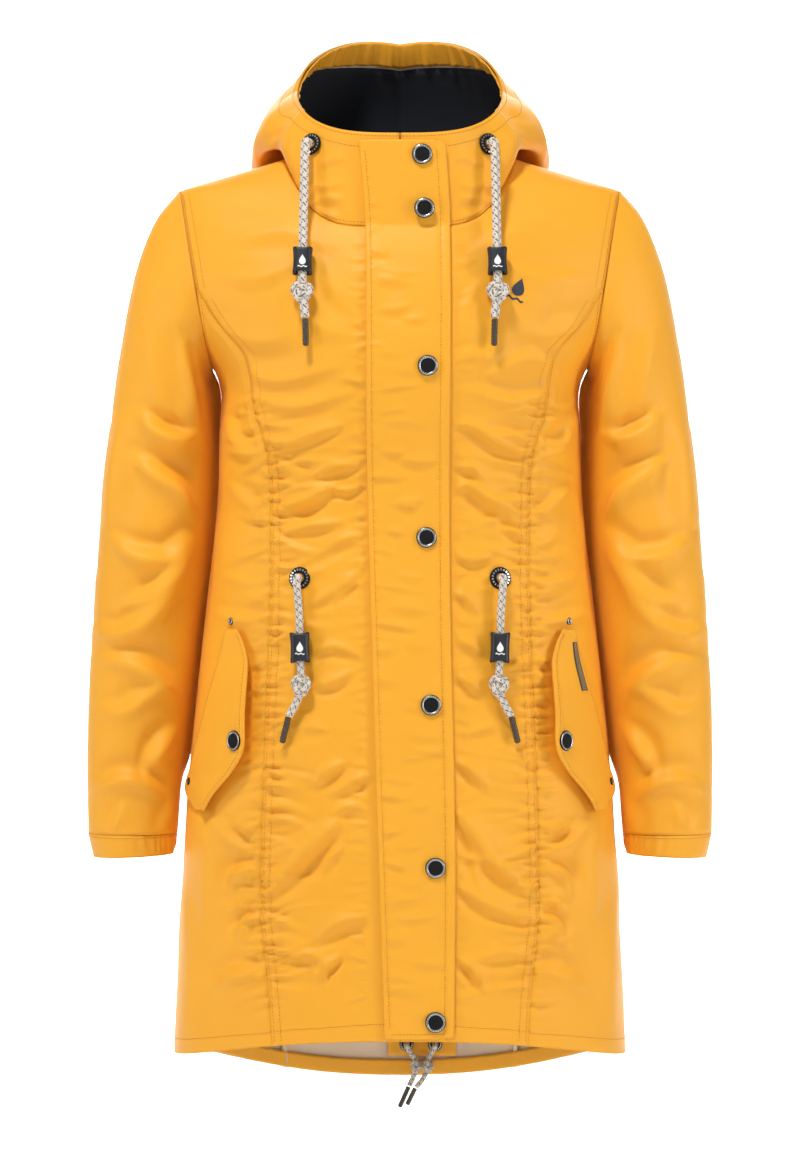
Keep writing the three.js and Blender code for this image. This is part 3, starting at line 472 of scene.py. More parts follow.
# Hem cord: its two ends come out of a patch inside the back hem and are knotted close below it.
# The ends carry the same crimped tips, smaller.
HEM_CORDS = {
    "right": {
        "route": [
            (6.5, 134.6, -859.5),
            (6.5, 129, -860.5),
            (10, 128, -866),
            (15, 127.5, -874),
            (16.5, 127.5, -881),
            (13.5, 128, -890),
            (9, 128.5, -899.5),
        ],
        "knot": [(16, 127.5, -880), (4.2, 3.6, 5.4)],
        "tip": [(8.5, 128.5, -900.6), (-0.5, 128, -921)],
    },
    "left": {
        "route": [
            (34.8, 134, -859.5),
            (34.8, 128.5, -860.5),
            (31.5, 127.5, -866),
            (27.5, 127, -874),
            (26.5, 126, -881),
            (24, 122, -889.5),
            (19.5, 120.8, -896),
            (15.8, 120.8, -900),
        ],
        "knot": [(27.5, 126.8, -880), (4.2, 3.6, 5.4)],
        "tip": [(15, 120.8, -900.9), (7, 121, -917.5)],
    },
}
for name, facts in HEM_CORDS.items():
    radius = CORD_RADIUS["hem"]
    line = smooth_route(facts["route"], 0.5)
    cord = braided(f"braid_hem_{name}", line, radius, around=20, strands=10)
    take_place(cord, [braid_material], [f"hem_cord_{name}"])
    centre, reach = facts["knot"]
    knot = braided(f"knot_hem_{name}", trefoil(centre, reach, 0.7), radius * 0.8, closed=True, around=16)
    take_place(knot, [braid_material])
    tip = ridged_tip(f"crimp_hem_{name}", *facts["tip"], 2.5)
    take_place(tip, [tip_material], [f"hem_tip_{name}"])
    ring = eyelet(f"ring_hem_{name}", np.add(facts["route"][0], (0, 1.2, 0)), (0, -1, 0), 7, radius + 0.8)
    take_place(ring, [enamel_material, silver_material], [f"hem_eyelet_{name}"])

# Front centre panels: coated cotton-feel cloth from hem to neckline, sewn to the ruched princess seams.
# Each is one cut shell that follows the body's form, with the folds that the gathered seams throw.
CLOTH = 2.0
LINING = 1.4
SEAM_GAP = 0.35
BODY_POWER = 2.2 / 2  # half the power of the section's curve: 1 is an ellipse, more is squarer
NECK_HALF_WIDTH = 108
SHOULDER_X, SHOULDER_Z = 208, -30
UNDERARM_X, UNDERARM_Z = 177, -200
HEM_HALF_WIDTH = 214
HEM_Z = {"front": -820, "side": -846, "back": -891}
SIDE_SEAM = math.pi / 2 - 0.004  # angle round the body, just short of its widest place
PRINCESS_TOP = -130  # where the ruched seams meet the armholes
PRINCESS_SHARE = 1 - (1 - 13 / 18) ** 1.6


def through(rows):
    """A smooth curve through rows of key and values, in rising order of key."""
    rows = np.array(rows, float)
    keys, values = rows[:, 0], rows[:, 1:]
    last = len(rows) - 1
    before, after = np.maximum(np.arange(last + 1) - 1, 0), np.minimum(np.arange(last + 1) + 1, last)
    slopes = (values[after] - values[before]) / (keys[after] - keys[before])[:, None]

    def read(key, column=0):
        key = np.asarray(key, float)
        i = np.searchsorted(keys[1:-1], key, side="left")
        span = keys[i + 1] - keys[i]
        t = np.clip((key - keys[i]) / span, 0, 1)
        rest = 1 - t
        start = values[i, column] * (1 + 2 * t) + slopes[i, column] * span * t
        end = values[i + 1, column] * (3 - 2 * t) - slopes[i + 1, column] * span * rest
        return rest * rest * start + t * t * end

    return read


def mix(a, b, share):
    """The value a share of the way from a to b."""
    return a + (b - a) * share


def bell(away, width):
    """A soft bump, 1 where away is 0 and almost gone at twice the width."""
    return np.exp(-((away / width) ** 2))


def ease(value, low, high):
    """A soft step from 0 at low to 1 at high."""
    share = np.clip((np.asarray(value, float) - low) / (high - low), 0, 1)
    return share * share * (3 - 2 * share)


body_sections = through(
    [
        [-900, 217, 137, 142],
        [-620, 203, 130, 140],
        [-560, 198, 128, 137],
        [-440, 185.5, 120, 122],
        [-330, 173.5, 112, 103],
        [-260, 171, 121, 108],
        [-225, 169.5, 126, 111],
        [-200, 177, 128, 112],
        [-160, 204, 124, 112],
        [-120, 222, 117, 110],
        [-74, 223, 100, 103],
        [-50, 219, 80, 97],
        [-30, 208, 62, 90],
        [-15, 158, 50, 84],
        [0, 108, 38, 75],
    ]
)
princess_x = through(
    [
        [-900, 114],
        [-780, 120],
        [-710, 127],
        [-640, 127],
        [-560, 125],
        [-430, 120],
        [-330, 120],
        [-290, 122],
        [-240, 136],
        [-205, 141],
        [-187, 148],
        [-160, 171],
        [-130, 189],
    ]
)

PRINCESS_HEM_X = float(princess_x(HEM_Z["side"]))


def body_width(z):
    """Half the body's width at a height. It runs straight along the shoulder seam."""
    shoulder = mix(NECK_HALF_WIDTH, SHOULDER_X, z / SHOULDER_Z)
    return np.where(z > SHOULDER_Z, shoulder, body_sections(z, 0))


def body_angle(x, z):
    """The angle round the body at a distance from its middle."""
    return np.arcsin(np.minimum(1, (np.abs(x) / body_width(z)) ** BODY_POWER))


def body_point(side, face, angle, z):
    """A point of the body's outer face, 0 being the middle of its front or back."""
    depth = -body_sections(z, 1) if face == "front" else body_sections(z, 2)
    across = np.sign(angle) * np.abs(np.sin(angle)) ** (1 / BODY_POWER)
    along = np.maximum(np.cos(angle), 0) ** (1 / BODY_POWER)
    return np.stack([side * body_width(z) * across, depth * along, z * np.ones_like(across)], axis=-1)


def normal_by_steps(point_at, a, b, step_a, step_b):
    """The unit normal of a surface, from its points a step to each side."""
    across = point_at(a + step_a, b) - point_at(a - step_a, b)
    up = point_at(a, b + step_b) - point_at(a, b - step_b)
    normal = np.cross(across, up)
    return normal / np.linalg.norm(normal, axis=-1)[..., None]


def armhole_x(z):
    """Distance of the armhole from the middle in the front view."""
    return mix(SHOULDER_X, UNDERARM_X, (SHOULDER_Z - z) / (SHOULDER_Z - UNDERARM_Z))


def hem_z(face, x):
    """Height of the curved hem."""
    return HEM_Z[face] + (HEM_Z["side"] - HEM_Z[face]) * (np.abs(x) / HEM_HALF_WIDTH) ** 2.3


def neckline_z(x):
    """Height of the front neckline."""
    return -74 * (1 - np.minimum(np.abs(x) / NECK_HALF_WIDTH, 1) ** 5)


def between_edges(bottom, top, left, right, reach=1):
    """A four-sided patch between edge curves. A high reach keeps the top edge's shape close to the top."""

    def read(u, v):
        zero, one = np.zeros_like(u), np.ones_like(u)
        rise = v**reach
        places = []
        for k in (0, 1):
            across = mix(left(v)[k], right(v)[k], u)
            along = mix(bottom(u)[k], top(u)[k], rise)
            low = mix(bottom(zero)[k], bottom(one)[k], u)
            high = mix(top(zero)[k], top(one)[k], u)
            places.append(across + along - mix(low, high, rise))
        return places

    return read


def princess_edge(face, share):
    """The ruched seam from hem to armhole, as distance and height."""
    z = mix(hem_z(face, PRINCESS_HEM_X), PRINCESS_TOP, share)
    return princess_x(z), z


def centre_patch(face):
    """Places of a centre panel. Its top edge is the neckline and then the shoulder seam."""

    neck_share = 0.6 if face == "front" else 0.51
    neck_x = np.linspace(0, NECK_HALF_WIDTH, 300)
    drop = neckline_z(neck_x) if face == "front" else 0 * neck_x
    run = np.r_[0, np.cumsum(np.hypot(np.diff(neck_x), np.diff(drop)))]

    def top(u):
        along = (u - neck_share) / (1 - neck_share)
        x = np.interp(u / neck_share, run / run[-1], neck_x)
        neck = (neckline_z(x) if face == "front" else 0 * x) - SEAM_GAP
        on_shoulder = u > neck_share
        return (
            np.where(on_shoulder, mix(NECK_HALF_WIDTH, SHOULDER_X, along), x),
            np.where(on_shoulder, SHOULDER_Z * along - SEAM_GAP * np.maximum(0, 1 - 12 * along), neck),
        )

    def outer(v):
        seam_x, seam_z = princess_edge(face, np.minimum(v / PRINCESS_SHARE, 1))
        z = mix(PRINCESS_TOP, SHOULDER_Z, (v - PRINCESS_SHARE) / (1 - PRINCESS_SHARE))
        low = v < PRINCESS_SHARE
        gap = SEAM_GAP * np.clip((SHOULDER_Z - z) / 12, 0, 1)
        return np.where(low, seam_x, armhole_x(z) - gap), np.where(low, seam_z, z)

    start_z = hem_z(face, 0)
    top_z = float(top(np.zeros(1))[1][0])
    return between_edges(
        lambda u: (PRINCESS_HEM_X * u, hem_z(face, PRINCESS_HEM_X * u)),
        top,
        lambda v: (0 * v, mix(start_z, top_z, v)),
        outer,
        reach=3,
    )


def centre_form(side, face):
    """The outer face of a centre panel on one side."""
    patch = centre_patch(face)

    def read(u, v):
        x, z = patch(mix(0.0024, 1 - 0.001, u), v)
        return body_point(side, face, np.minimum(body_angle(x, z), SIDE_SEAM), z)

    return read


class Panel:
    """A sewn piece with its outer face kept, so that stitches and trims can lie on it."""

    def __init__(self, piece, face, normal, flat, area):
        self.piece = piece
        self.face = face
        self.normal = normal
        self.flat = flat
        self.area = area

    def at(self, u, v):
        """Points and normals of the outer face at shares across and up."""
        rows, columns = self.face.shape[0] - 1, self.face.shape[1] - 1
        x, y = np.clip(u, 0, 1) * columns, np.clip(v, 0, 1) * rows
        i, j = np.minimum(x.astype(int), columns - 1), np.minimum(y.astype(int), rows - 1)
        p, q = (x - i)[:, None], (y - j)[:, None]

        def blend(table):
            low = table[j, i] * (1 - p) + table[j, i + 1] * p
            high = table[j + 1, i] * (1 - p) + table[j + 1, i + 1] * p
            return low * (1 - q) + high * q

        return blend(self.face), blend(self.normal)

    def row(self, v_inset=0.0, u_range=(0, 1), from_top=True, count=500):
        """A line along the top or bottom edge, inset by millimetres."""
        u = np.linspace(*u_range, count)
        length = np.linalg.norm(np.diff(self.face, axis=0), axis=2).sum(axis=0)
        reach = v_inset / np.interp(u, np.linspace(0, 1, len(length)), length)
        return self.at(u, 1 - reach if from_top else reach)

    def column(self, u_inset=0.0, v_range=(0, 1), far=True, count=1200):
        """A line along the far or near side edge, inset by millimetres."""
        v = np.linspace(*v_range, count)
        length = np.linalg.norm(np.diff(self.face, axis=1), axis=2).sum(axis=1)
        reach = u_inset / np.interp(v, np.linspace(0, 1, len(length)), length)
        return self.at(1 - reach if far else reach, v)


def tucked(face, normal, edge):
    """The face with a seam allowance at one edge, turned in under its neighbour."""
    if edge in ("low", "high"):
        face, normal = np.swapaxes(face, 0, 1), np.swapaxes(normal, 0, 1)
    if edge in ("far", "high"):
        face, normal = face[:, ::-1], normal[:, ::-1]
    ahead = face[:, :1] - face[:, 3:4]
    ahead /= np.maximum(np.linalg.norm(ahead, axis=2), 1e-6)[..., None]
    steps = ((3.4, 2.9), (0.5, 2.6), (0.15, 0.5))  # millimetres out past the edge and in under it
    turned_in = [face[:, :1] + out * ahead - sunk * normal[:, :1] for out, sunk in steps]
    face = np.concatenate([*turned_in, face], axis=1)
    normal = np.concatenate([normal[:, :1]] * len(steps) + [normal], axis=1)
    if edge in ("far", "high"):
        face, normal = face[:, ::-1], normal[:, ::-1]
    if edge in ("low", "high"):
        face, normal = np.swapaxes(face, 0, 1), np.swapaxes(normal, 0, 1)
    return face, normal


def sew(name, grid, form, relief, hand=1, wall=CLOTH, closed=False, tucks=()):
    """A cloth shell on a form. Relief moves its outer face along the normal, and the wall grows inwards.

    Tucks name the edges that go on under the next piece as a turned seam allowance."""
    columns, rows = grid
    u, v = np.meshgrid(np.linspace(0, 1, columns + 1), np.linspace(0, 1, rows + 1))
    smooth = form(u, v)
    if closed:
        across = np.roll(smooth[:, :-1], -1, axis=1) - np.roll(smooth[:, :-1], 1, axis=1)
        across = np.concatenate([across, across[:, :1]], axis=1)
    else:
        across = np.gradient(smooth, axis=1)
    normal = np.cross(across, np.gradient(smooth, axis=0)) * hand
    normal /= np.maximum(np.linalg.norm(normal, axis=2), 1e-9)[..., None]
    face = smooth + normal * relief(u, v, smooth, normal)[..., None]
    shown, outward = face, normal
    for edge in tucks:
        shown, outward = tucked(shown, outward, edge)
    width = columns if closed else shown.shape[1]
    index = np.arange(width * shown.shape[0]).reshape(shown.shape[0], width)
    if closed:
        index = np.concatenate([index, index[:, :1]], axis=1)
    corners = [index[:-1, :-1], index[:-1, 1:], index[1:, 1:], index[1:, :-1]]
    if hand < 0:
        corners.reverse()
    faces = np.stack(corners, axis=-1).reshape(-1, 4)
    piece = make_mesh(name, shown[:, :width].reshape(-1, 3), faces.tolist())
    solid = piece.modifiers.new("cloth_wall", "SOLIDIFY")
    solid.thickness = wall * MM
    solid.offset = -1
    solid.material_offset = 1
    side_a, side_b = smooth[1:, 1:] - smooth[:-1, :-1], smooth[1:, :-1] - smooth[:-1, 1:]
    area = np.linalg.norm(np.cross(side_a, side_b), axis=2).sum() / 2
    long_way = np.linalg.norm(np.diff(smooth, axis=0), axis=2).sum(axis=0).max()
    wide_way = np.linalg.norm(np.diff(smooth, axis=1), axis=2).sum(axis=1).max()
    return Panel(piece, face, normal, (wide_way * MM, long_way * MM), area * MM * MM)


def declare(panel):
    """Works out the area of a cloth piece's flat cut, measured on its smooth form; nothing is done with it."""
    area = min(panel.area, panel.flat[0] * panel.flat[1])


def folds(x, z, creases, fading=False):
    """Height of soft folds. Each crease is its places across and up, its width and its rise.

    A fading crease is sharp where it starts and spreads out towards its end."""
    height = np.zeros_like(x)
    for places, width, rise in creases:
        line = smooth_route([(px, 0, pz) for px, pz in places], 3.0)[:, [0, 2]]
        low, high = line.min(axis=0) - 3 * width, line.max(axis=0) + 3 * width
        near = (x > low[0]) & (x < high[0]) & (z > low[1]) & (z < high[1])
        if not near.any():
            continue
        spots = np.stack([x[near], z[near]], axis=1)
        best = np.full(len(spots), 1e9)
        signed = np.zeros(len(spots))
        share = np.zeros(len(spots))
        for k in range(len(line) - 1):
            start, step = line[k], line[k + 1] - line[k]
            t = np.clip(((spots - start) @ step) / (step @ step), 0, 1)
            away = spots - start - t[:, None] * step
            gap = np.hypot(away[:, 0], away[:, 1])
            closer = gap < best
            turn = step[0] * away[:, 1] - step[1] * away[:, 0]
            best = np.where(closer, gap, best)
            signed = np.where(closer, np.sign(turn) * gap, signed)
            share = np.where(closer, (k + t) / (len(line) - 1), share)
        if fading:
            taper = ease(share, 0, 0.06) * (1 - share) ** 0.9
            thin = width * (0.6 + 0.9 * share)
        else:
            taper = np.sin(math.pi * np.clip(share * 0.94 + 0.03, 0, 1)) ** 0.7
            thin = width * (0.5 + 0.5 * taper)
        crest = np.sqrt((signed / thin) ** 2 + 0.09) - 0.3
        ridge = np.exp(-1.5 * crest)
        trough = np.exp(-(((signed + 1.5 * thin) / (0.85 * thin)) ** 2))
        height[near] += rise * taper * (ridge - 0.6 * trough)
    return height


def fan(seed, edge_x, span, side_out, count, reach, rise):
    """Small creases that start along a gathered seam and run out from it at slight slants."""
    chance = np.random.default_rng(seed)
    creases = []
    for k in range(count):
        z = mix(span[0], span[1], (k + chance.uniform(0.1, 0.9)) / count)
        length = chance.uniform(*reach)
        slant = math.radians(chance.uniform(-24, 24))
        bend = chance.uniform(-0.12, 0.12) * length
        start = float(edge_x(z)) - side_out * 5
        end = start + side_out * length * math.cos(slant)
        middle = ((start + end) / 2, z + 0.5 * length * math.sin(slant) + bend)
        places = [(start, z), middle, (end, z + length * math.sin(slant))]
        creases.append((places, chance.uniform(2.2, 4.4), chance.uniform(*rise)))
    return creases


def swell(seed, x, z, size, rise):
    """Slow uneven ground under the folds."""
    chance = np.random.default_rng(seed)
    height = np.zeros_like(x)
    for _ in range(7):
        heading = chance.uniform(0, math.pi)
        wave = chance.uniform(0.7, 1.5) * size
        run = x * math.cos(heading) + z * 1.3 * math.sin(heading)
        height += np.sin(run * 2 * math.pi / wave + chance.uniform(0, 7))
    return rise * height / 3


def ruching(z, away, strength=1.3):
    """The tight pleats beside a ruched seam, round on top and sharp between, the same on both panels."""
    bend = 1.5 * np.sin(z * 0.083) + 0.8 * np.sin(z * 0.29 + 1)
    wave = 1.7 * np.abs(np.sin(z * 0.4 + bend)) - 1.0
    wave += 0.6 * np.sin(z * 0.62 + 2.1 * np.sin(z * 0.051) + away * 0.08)
    gathered = ease(z, -815, -770) * (1 - ease(z, -250, -215))
    slack = 1 - 0.45 * ease(z, -420, -395) * (1 - ease(z, -378, -350))
    grooves = bell(away - 2.6, 1.3) + bell(away - 9, 1.3)
    return strength * wave * gathered * slack * bell(away, 14) - (0.45 + 0.35 * np.sin(z * 0.88)) * grooves


FRONT_FOLDS = {
    "right": [
        ([(-117, -276), (-85, -266), (-53, -257)], 6, 2.4),
        ([(-113, -284), (-98, -292), (-80, -299)], 5, -1.3),
        ([(-114, -337), (-89, -326), (-62, -314)], 7.5, 3.2),
        ([(-80, -305), (-61, -295), (-36, -294)], 6, 1.9),
        ([(-64, -314), (-52, -317), (-34, -313)], 4.5, 1.7),
        ([(-110, -357), (-84, -350), (-52, -346)], 6, 1.8),
        ([(-74, -376), (-54, -363), (-32, -357)], 6, 1.7),
        ([(-60, -418), (-50, -402), (-38, -392)], 6, 1.9),
        ([(-84, -424), (-72, -417), (-58, -405)], 5, 1.5),
        ([(-84, -470), (-62, -460), (-34, -469)], 6, 1.6),
        ([(-82, -499), (-62, -492), (-44, -484)], 6, 2.0),
        ([(-118, -683), (-94, -655), (-58, -620)], 9.5, 4.2),
        ([(-78, -588), (-66, -574), (-50, -566)], 6, 2.4),
        ([(-62, -596), (-42, -583), (-20, -576)], 6, 1.9),
        ([(-62, -612), (-45, -606), (-24, -610)], 6, 1.5),
        ([(-70, -668), (-64, -652), (-52, -643)], 5.5, 2.0),
        ([(-70, -767), (-71, -756), (-54, -741)], 4.5, 2.4),
        ([(-118, -742), (-92, -739), (-64, -748)], 7, 1.8),
        ([(-78, -729), (-55, -711), (-20, -706)], 8, 2.4),
        ([(-110, -540), (-88, -534), (-66, -536)], 6, 1.5),
        ([(-96, -150), (-70, -170), (-42, -176)], 9, 0.8),
        ([(-150, -85), (-110, -78), (-70, -92)], 10, 1.0),
        ([(-168, -118), (-130, -122), (-96, -110)], 9, 0.9),
        ([(-170, -164), (-130, -180), (-80, -170)], 11, 1.2),
        ([(-158, -196), (-116, -216), (-56, -204)], 9, 1.5),
        ([(-142, -226), (-98, -240), (-46, -228)], 8, 1.5),
        ([(-70, -104), (-58, -136), (-38, -160)], 8, 0.9),
    ],
    "left": [
        ([(46, -257), (67, -259), (88, -271), (114, -281)], 6, 2.5),
        ([(46, -294), (66, -297), (78, -308)], 5.5, 1.8),
        ([(47, -316), (62, -313), (85, -326), (115, -341)], 7.5, 3.3),
        ([(96, -352), (106, -356), (116, -362)], 4.5, 1.6),
        ([(47, -371), (64, -381), (84, -378)], 6, 1.6),
        ([(46, -410), (60, -417), (70, -430)], 5.5, 1.9),
        ([(78, -347), (96, -340), (112, -350)], 5, 1.3),
        ([(47, -452), (64, -459), (76, -469)], 6, 1.8),
        ([(47, -481), (64, -494), (78, -506)], 6, 2.1),
        ([(49, -608), (68, -630), (92, -662), (119, -683)], 9.5, 4.2),
        ([(49, -562), (67, -575), (78, -590)], 6.5, 2.6),
        ([(53, -650), (68, -655), (72, -676)], 6, 2.0),
        ([(53, -678), (82, -697), (113, -708)], 7, 2.5),
        ([(53, -745), (67, -755), (76, -773)], 5, 2.8),
        ([(70, -746), (94, -739), (116, -740)], 7, 1.7),
        ([(60, -540), (86, -534), (112, -542)], 6, 1.4),
        ([(150, -85), (110, -80), (72, -94)], 10, 1.0),
        ([(166, -118), (132, -124), (98, -112)], 9, 0.9),
        ([(150, -205), (118, -196), (80, -214)], 8, 1.3),
        ([(172, -160), (134, -176), (124, -172)], 11, 1.1),
        ([(150, -218), (108, -236), (60, -226)], 9, 1.6),
        ([(72, -128), (62, -150), (54, -172)], 8, 0.9),
        ([(104, -186), (82, -196), (56, -192)], 8, 1.2),
    ],
}


def under_pocket(across, z):
    """Where a pocket flap lies."""
    return ease(across, 132, 140) * ease(z, -622, -612) * (1 - ease(z, -446, -436))


def beside_ruching(z):
    """The height over which the princess seams are gathered, fading out below the armhole."""
    return 1 - ease(z, -235, -205)


def calm(x, z, side):
    """Where trims and cords lie, the folds under them are low."""
    across = side * x
    flap_reach = 54 if side > 0 else 32
    quiet = ease(across, flap_reach - 6, flap_reach + 4)
    cords = bell(across - 89, 13) * ease(z, -196, -180) * (1 - ease(z, -98, -80))
    cords += bell(across - 93, 13) * ease(z, -556, -545) * (1 - ease(z, -398, -385))
    return (0.2 + 0.8 * quiet) * (1 - 0.75 * under_pocket(across, z)) * (1 - 0.8 * np.clip(cords, 0, 1))


def front_centre_relief(name, side):
    """Folds of a front centre panel."""
    puckers = fan(7 + side, princess_x, (-775, -235), -1, 66, (30, 84), (0.8, 1.9))
    edge = 50 if side > 0 else 34

    def along_flap(z):
        return edge + 0 * z

    nips = fan(17 + side, along_flap, (-795, -90), 1, 76, (12, 34), (0.5, 1.2))

    def read(u, v, form, normal):
        x, z = form[..., 0], form[..., 2]
        across = side * x
        height = 2.5 * folds(x, z, FRONT_FOLDS[name])
        height += 2.2 * folds(across, z, puckers, True) * ease(-z, 190, 260)
        height += 1.7 * folds(across, z, nips, True)
        height += swell(3 + side, x, z, 130, 0.8)
        height *= calm(x, z, side)
        away = princess_x(z) - across
        height *= 1 - bell(away, 5)
        height += ruching(z, away) * beside_ruching(z)
        height += 0.4 * bell(away - 5.8, 2.8)
        armhole = np.where(z > PRINCESS_TOP, armhole_x(z) - across, 40)
        height -= 0.45 * bell(armhole - 8, 1.3) - 0.4 * bell(armhole - 4.5, 2.6)
        height *= ease(v, 0, 0.012) * ease(1 - v, 0, 0.014)
        over = np.maximum(height - 5.5, 0)
        return height - 0.5 * over

    return read


def cloth_material(name, colour, deep, roughness, grain=1.0):
    """Coated cloth: a fine woven grain, small crumples and slow shifts of tone."""
    material = plain_material(name, colour, roughness)
    surface = material.node_tree.nodes["Principled BSDF"]
    surface.inputs["Specular IOR Level"].default_value = 0.34
    surface.inputs["Sheen Weight"].default_value = 0.04
    surface.inputs["Sheen Roughness"].default_value = 0.5
    place = add_node(material, "ShaderNodeTexCoord")
    slow = add_node(material, "ShaderNodeTexNoise", Scale=7.0, Detail=2.0)
    tone = add_node(material, "ShaderNodeMix", data_type="RGBA")
    tone.inputs[6].default_value = (*deep, 1)
    tone.inputs[7].default_value = (*colour, 1)
    crumple = add_node(material, "ShaderNodeTexNoise", Scale=48.0, Detail=3.0, Roughness=0.5)
    weave = add_node(material, "ShaderNodeTexNoise", Scale=1600.0, Detail=1.0)
    low = add_node(material, "ShaderNodeBump", Strength=0.28, Distance=0.0009)
    high = add_node(material, "ShaderNodeBump", Strength=0.28 * grain, Distance=0.0002)
    wire(material, place, slow, "Object", "Vector")
    wire(material, place, crumple, "Object", "Vector")
    wire(material, place, weave, "Object", "Vector")
    wire(material, slow, tone, "Fac", 0)
    wire(material, tone, surface, 2, "Base Color")
    wire(material, crumple, low, "Fac", "Height")
    wire(material, weave, high, "Fac", "Height")
    wire(material, low, high, "Normal", "Normal")
    wire(material, high, surface, "Normal", "Normal")
    return material


yellow = cloth_material("yellow_coated_cloth", (0.92, 0.415, 0.024), (0.88, 0.385, 0.02), 0.52)
cream = cloth_material("cream_inside_face", (0.78, 0.62, 0.45), (0.74, 0.57, 0.40), 0.8)
stitch_lines = []
panels = {}
for name, side in (RIGHT, LEFT):
    panel = sew(
        f"cloth_front_centre_{name}",
        (60, 410),
        centre_form(side, "front"),
        front_centre_relief(name, side),
        hand=side,
    )
    take_place(panel.piece, [yellow, cream], [f"front_centre_{name}"])
    declare(panel)
    panels[f"front_centre_{name}"] = panel
    low = PRINCESS_SHARE * 0.985
    stitch_lines += [panel.column(inset, (0.004, low)) for inset in (2.6, 9.0)]
    stitch_lines += [panel.column(inset, (PRINCESS_SHARE, 0.99)) for inset in (2.4, 8.0)]
    stitch_lines.append(panel.row(16, from_top=False))

# Front side panels: from the ruched seam round to the side seam, below the armhole.
# Their folds run up from the seam towards the side, and the pocket flaps lie on them.
def side_patch(face):
    """Places of a side panel, as angle and height. Its top edge is the lower armhole."""

    def as_angle(x, z):
        return np.minimum(body_angle(x, z), SIDE_SEAM)

    def princess(v):
        x, z = princess_edge(face, v)
        return as_angle(x, z), z

    def hem(u):
        height = float(HEM_Z["side"])
        angle = mix(body_angle(PRINCESS_HEM_X, height), SIDE_SEAM, u)
        x = body_width(height) * np.sin(angle) ** (1 / BODY_POWER)
        return angle, hem_z(face, x)

    def armhole(u):
        z = mix(PRINCESS_TOP, UNDERARM_Z, u)
        return as_angle(armhole_x(z) - SEAM_GAP, z), z

    def side_seam(v):
        return np.full_like(v, SIDE_SEAM), mix(HEM_Z["side"], UNDERARM_Z, v)

    return between_edges(hem, armhole, princess, side_seam)


def side_form(side, face):
    """The outer face of a side panel."""
    patch = side_patch(face)

    def read(u, v):
        angle, z = patch(mix(0.0005, 1 - 0.0012, u), v)
        return body_point(side, face, angle, z)

    return read


SIDE_FOLDS = [
    ([(163, -243), (152, -272), (128, -281)], 7, 1.7),
    ([(158, -312), (145, -326), (125, -341)], 6.5, 2.0),
    ([(161, -276), (150, -281), (123, -287)], 5, 1.3),
    ([(166, -396), (150, -400), (124, -407)], 6, 1.2),
    ([(176, -430), (150, -438), (124, -442)], 7, 1.3),
    ([(158, -688), (150, -671), (129, -661)], 7, 3.0),
    ([(146, -733), (143, -717), (130, -707)], 6, 2.8),
    ([(176, -618), (157, -641), (130, -652)], 8, 2.4),
    ([(190, -602), (178, -655), (184, -748)], 13, 1.8),
    ([(170, -778), (147, -763), (121, -759)], 9, 2.2),
    ([(133, -640), (143, -628), (160, -625)], 6, 1.8),
    ([(204, -690), (196, -750), (200, -820)], 12, 1.2),
    ([(132, -690), (142, -694), (150, -706)], 5.5, 1.8),
]


def side_relief(side, face, seed):
    """Folds of a side panel, front or back."""
    puckers = fan(seed, princess_x, (-790, -230), 1, 62, (22, 56), (0.8, 1.9))

    def read(u, v, form, normal):
        x, z = side * form[..., 0], form[..., 2]
        shift = 0 if face == "front" else 9
        height = 2.3 * folds(x, z + shift, SIDE_FOLDS)
        height += 2.0 * folds(x, z, puckers, True)
        height += swell(seed, form[..., 1] + x, z, 120, 0.7)
        if face == "front":
            height *= 1 - 0.8 * under_pocket(x, z)
        away = x - princess_x(z)
        height *= 1 - bell(away, 5)
        height *= 1 - 0.75 * ease(u, 0.72, 0.97) * ease(z, -640, -560)
        height *= 1 - 0.9 * ease(u, 0.9, 1)
        height += ruching(z, away) * beside_ruching(z)
        height += 0.4 * bell(away - 5.8, 2.8)
        return height * ease(v, 0, 0.012) * ease(1 - v, 0, 0.02)

    return read


for name, side in (RIGHT, LEFT):
    relief = side_relief(side, "front", 23 + side)
    form = side_form(side, "front")
    panel = sew(f"cloth_front_side_{name}", (32, 340), form, relief, hand=side, tucks=["near"])
    take_place(panel.piece, [yellow, cream], [f"front_side_{name}"])
    declare(panel)
    stitch_lines.append(panel.row(14, from_top=False))
    stitch_lines += [panel.row(inset) for inset in (2.4, 7.0)]

# Back: one centre panel from ruched seam to ruched seam, and a side panel each side, with a dropped hem.
# The folds here repeat the front's kinds, and the cream inside face shows below the front hem.
BACK_FOLDS = [
    ([(-120, -290), (-70, -300), (-20, -288)], 8, 2.2),
    ([(120, -305), (80, -322), (30, -318)], 8, 2.2),
    ([(-110, -350), (-60, -372), (0, -366)], 8, 2.4),
    ([(112, -372), (66, -384), (18, -402)], 8, 2.0),
    ([(-70, -430), (0, -442), (70, -428)], 9, 1.6),
    ([(-116, -610), (-84, -640), (-40, -652)], 9, 2.6),
    ([(116, -590), (84, -622), (46, -668)], 9, 2.6),
    ([(-112, -700), (-70, -716), (-30, -752)], 9, 2.2),
    ([(112, -720), (76, -742), (40, -744)], 9, 2.2),
    ([(-150, -100), (-90, -118), (-30, -112)], 11, 1.3),
    ([(150, -104), (96, -124), (36, -130)], 11, 1.3),
    ([(-40, -790), (-10, -820), (-16, -870)], 10, 1.6),
    ([(60, -780), (70, -820), (62, -868)], 10, 1.6),
]
back_patch = centre_patch("back")


def back_centre_form(u, v):
    across = (2 * u - 1) * (1 - 0.0024)
    x, z = back_patch(np.abs(across), v)
    angle = np.sign(across) * np.minimum(body_angle(x, z), SIDE_SEAM)
    return body_point(1, "back", angle, z)


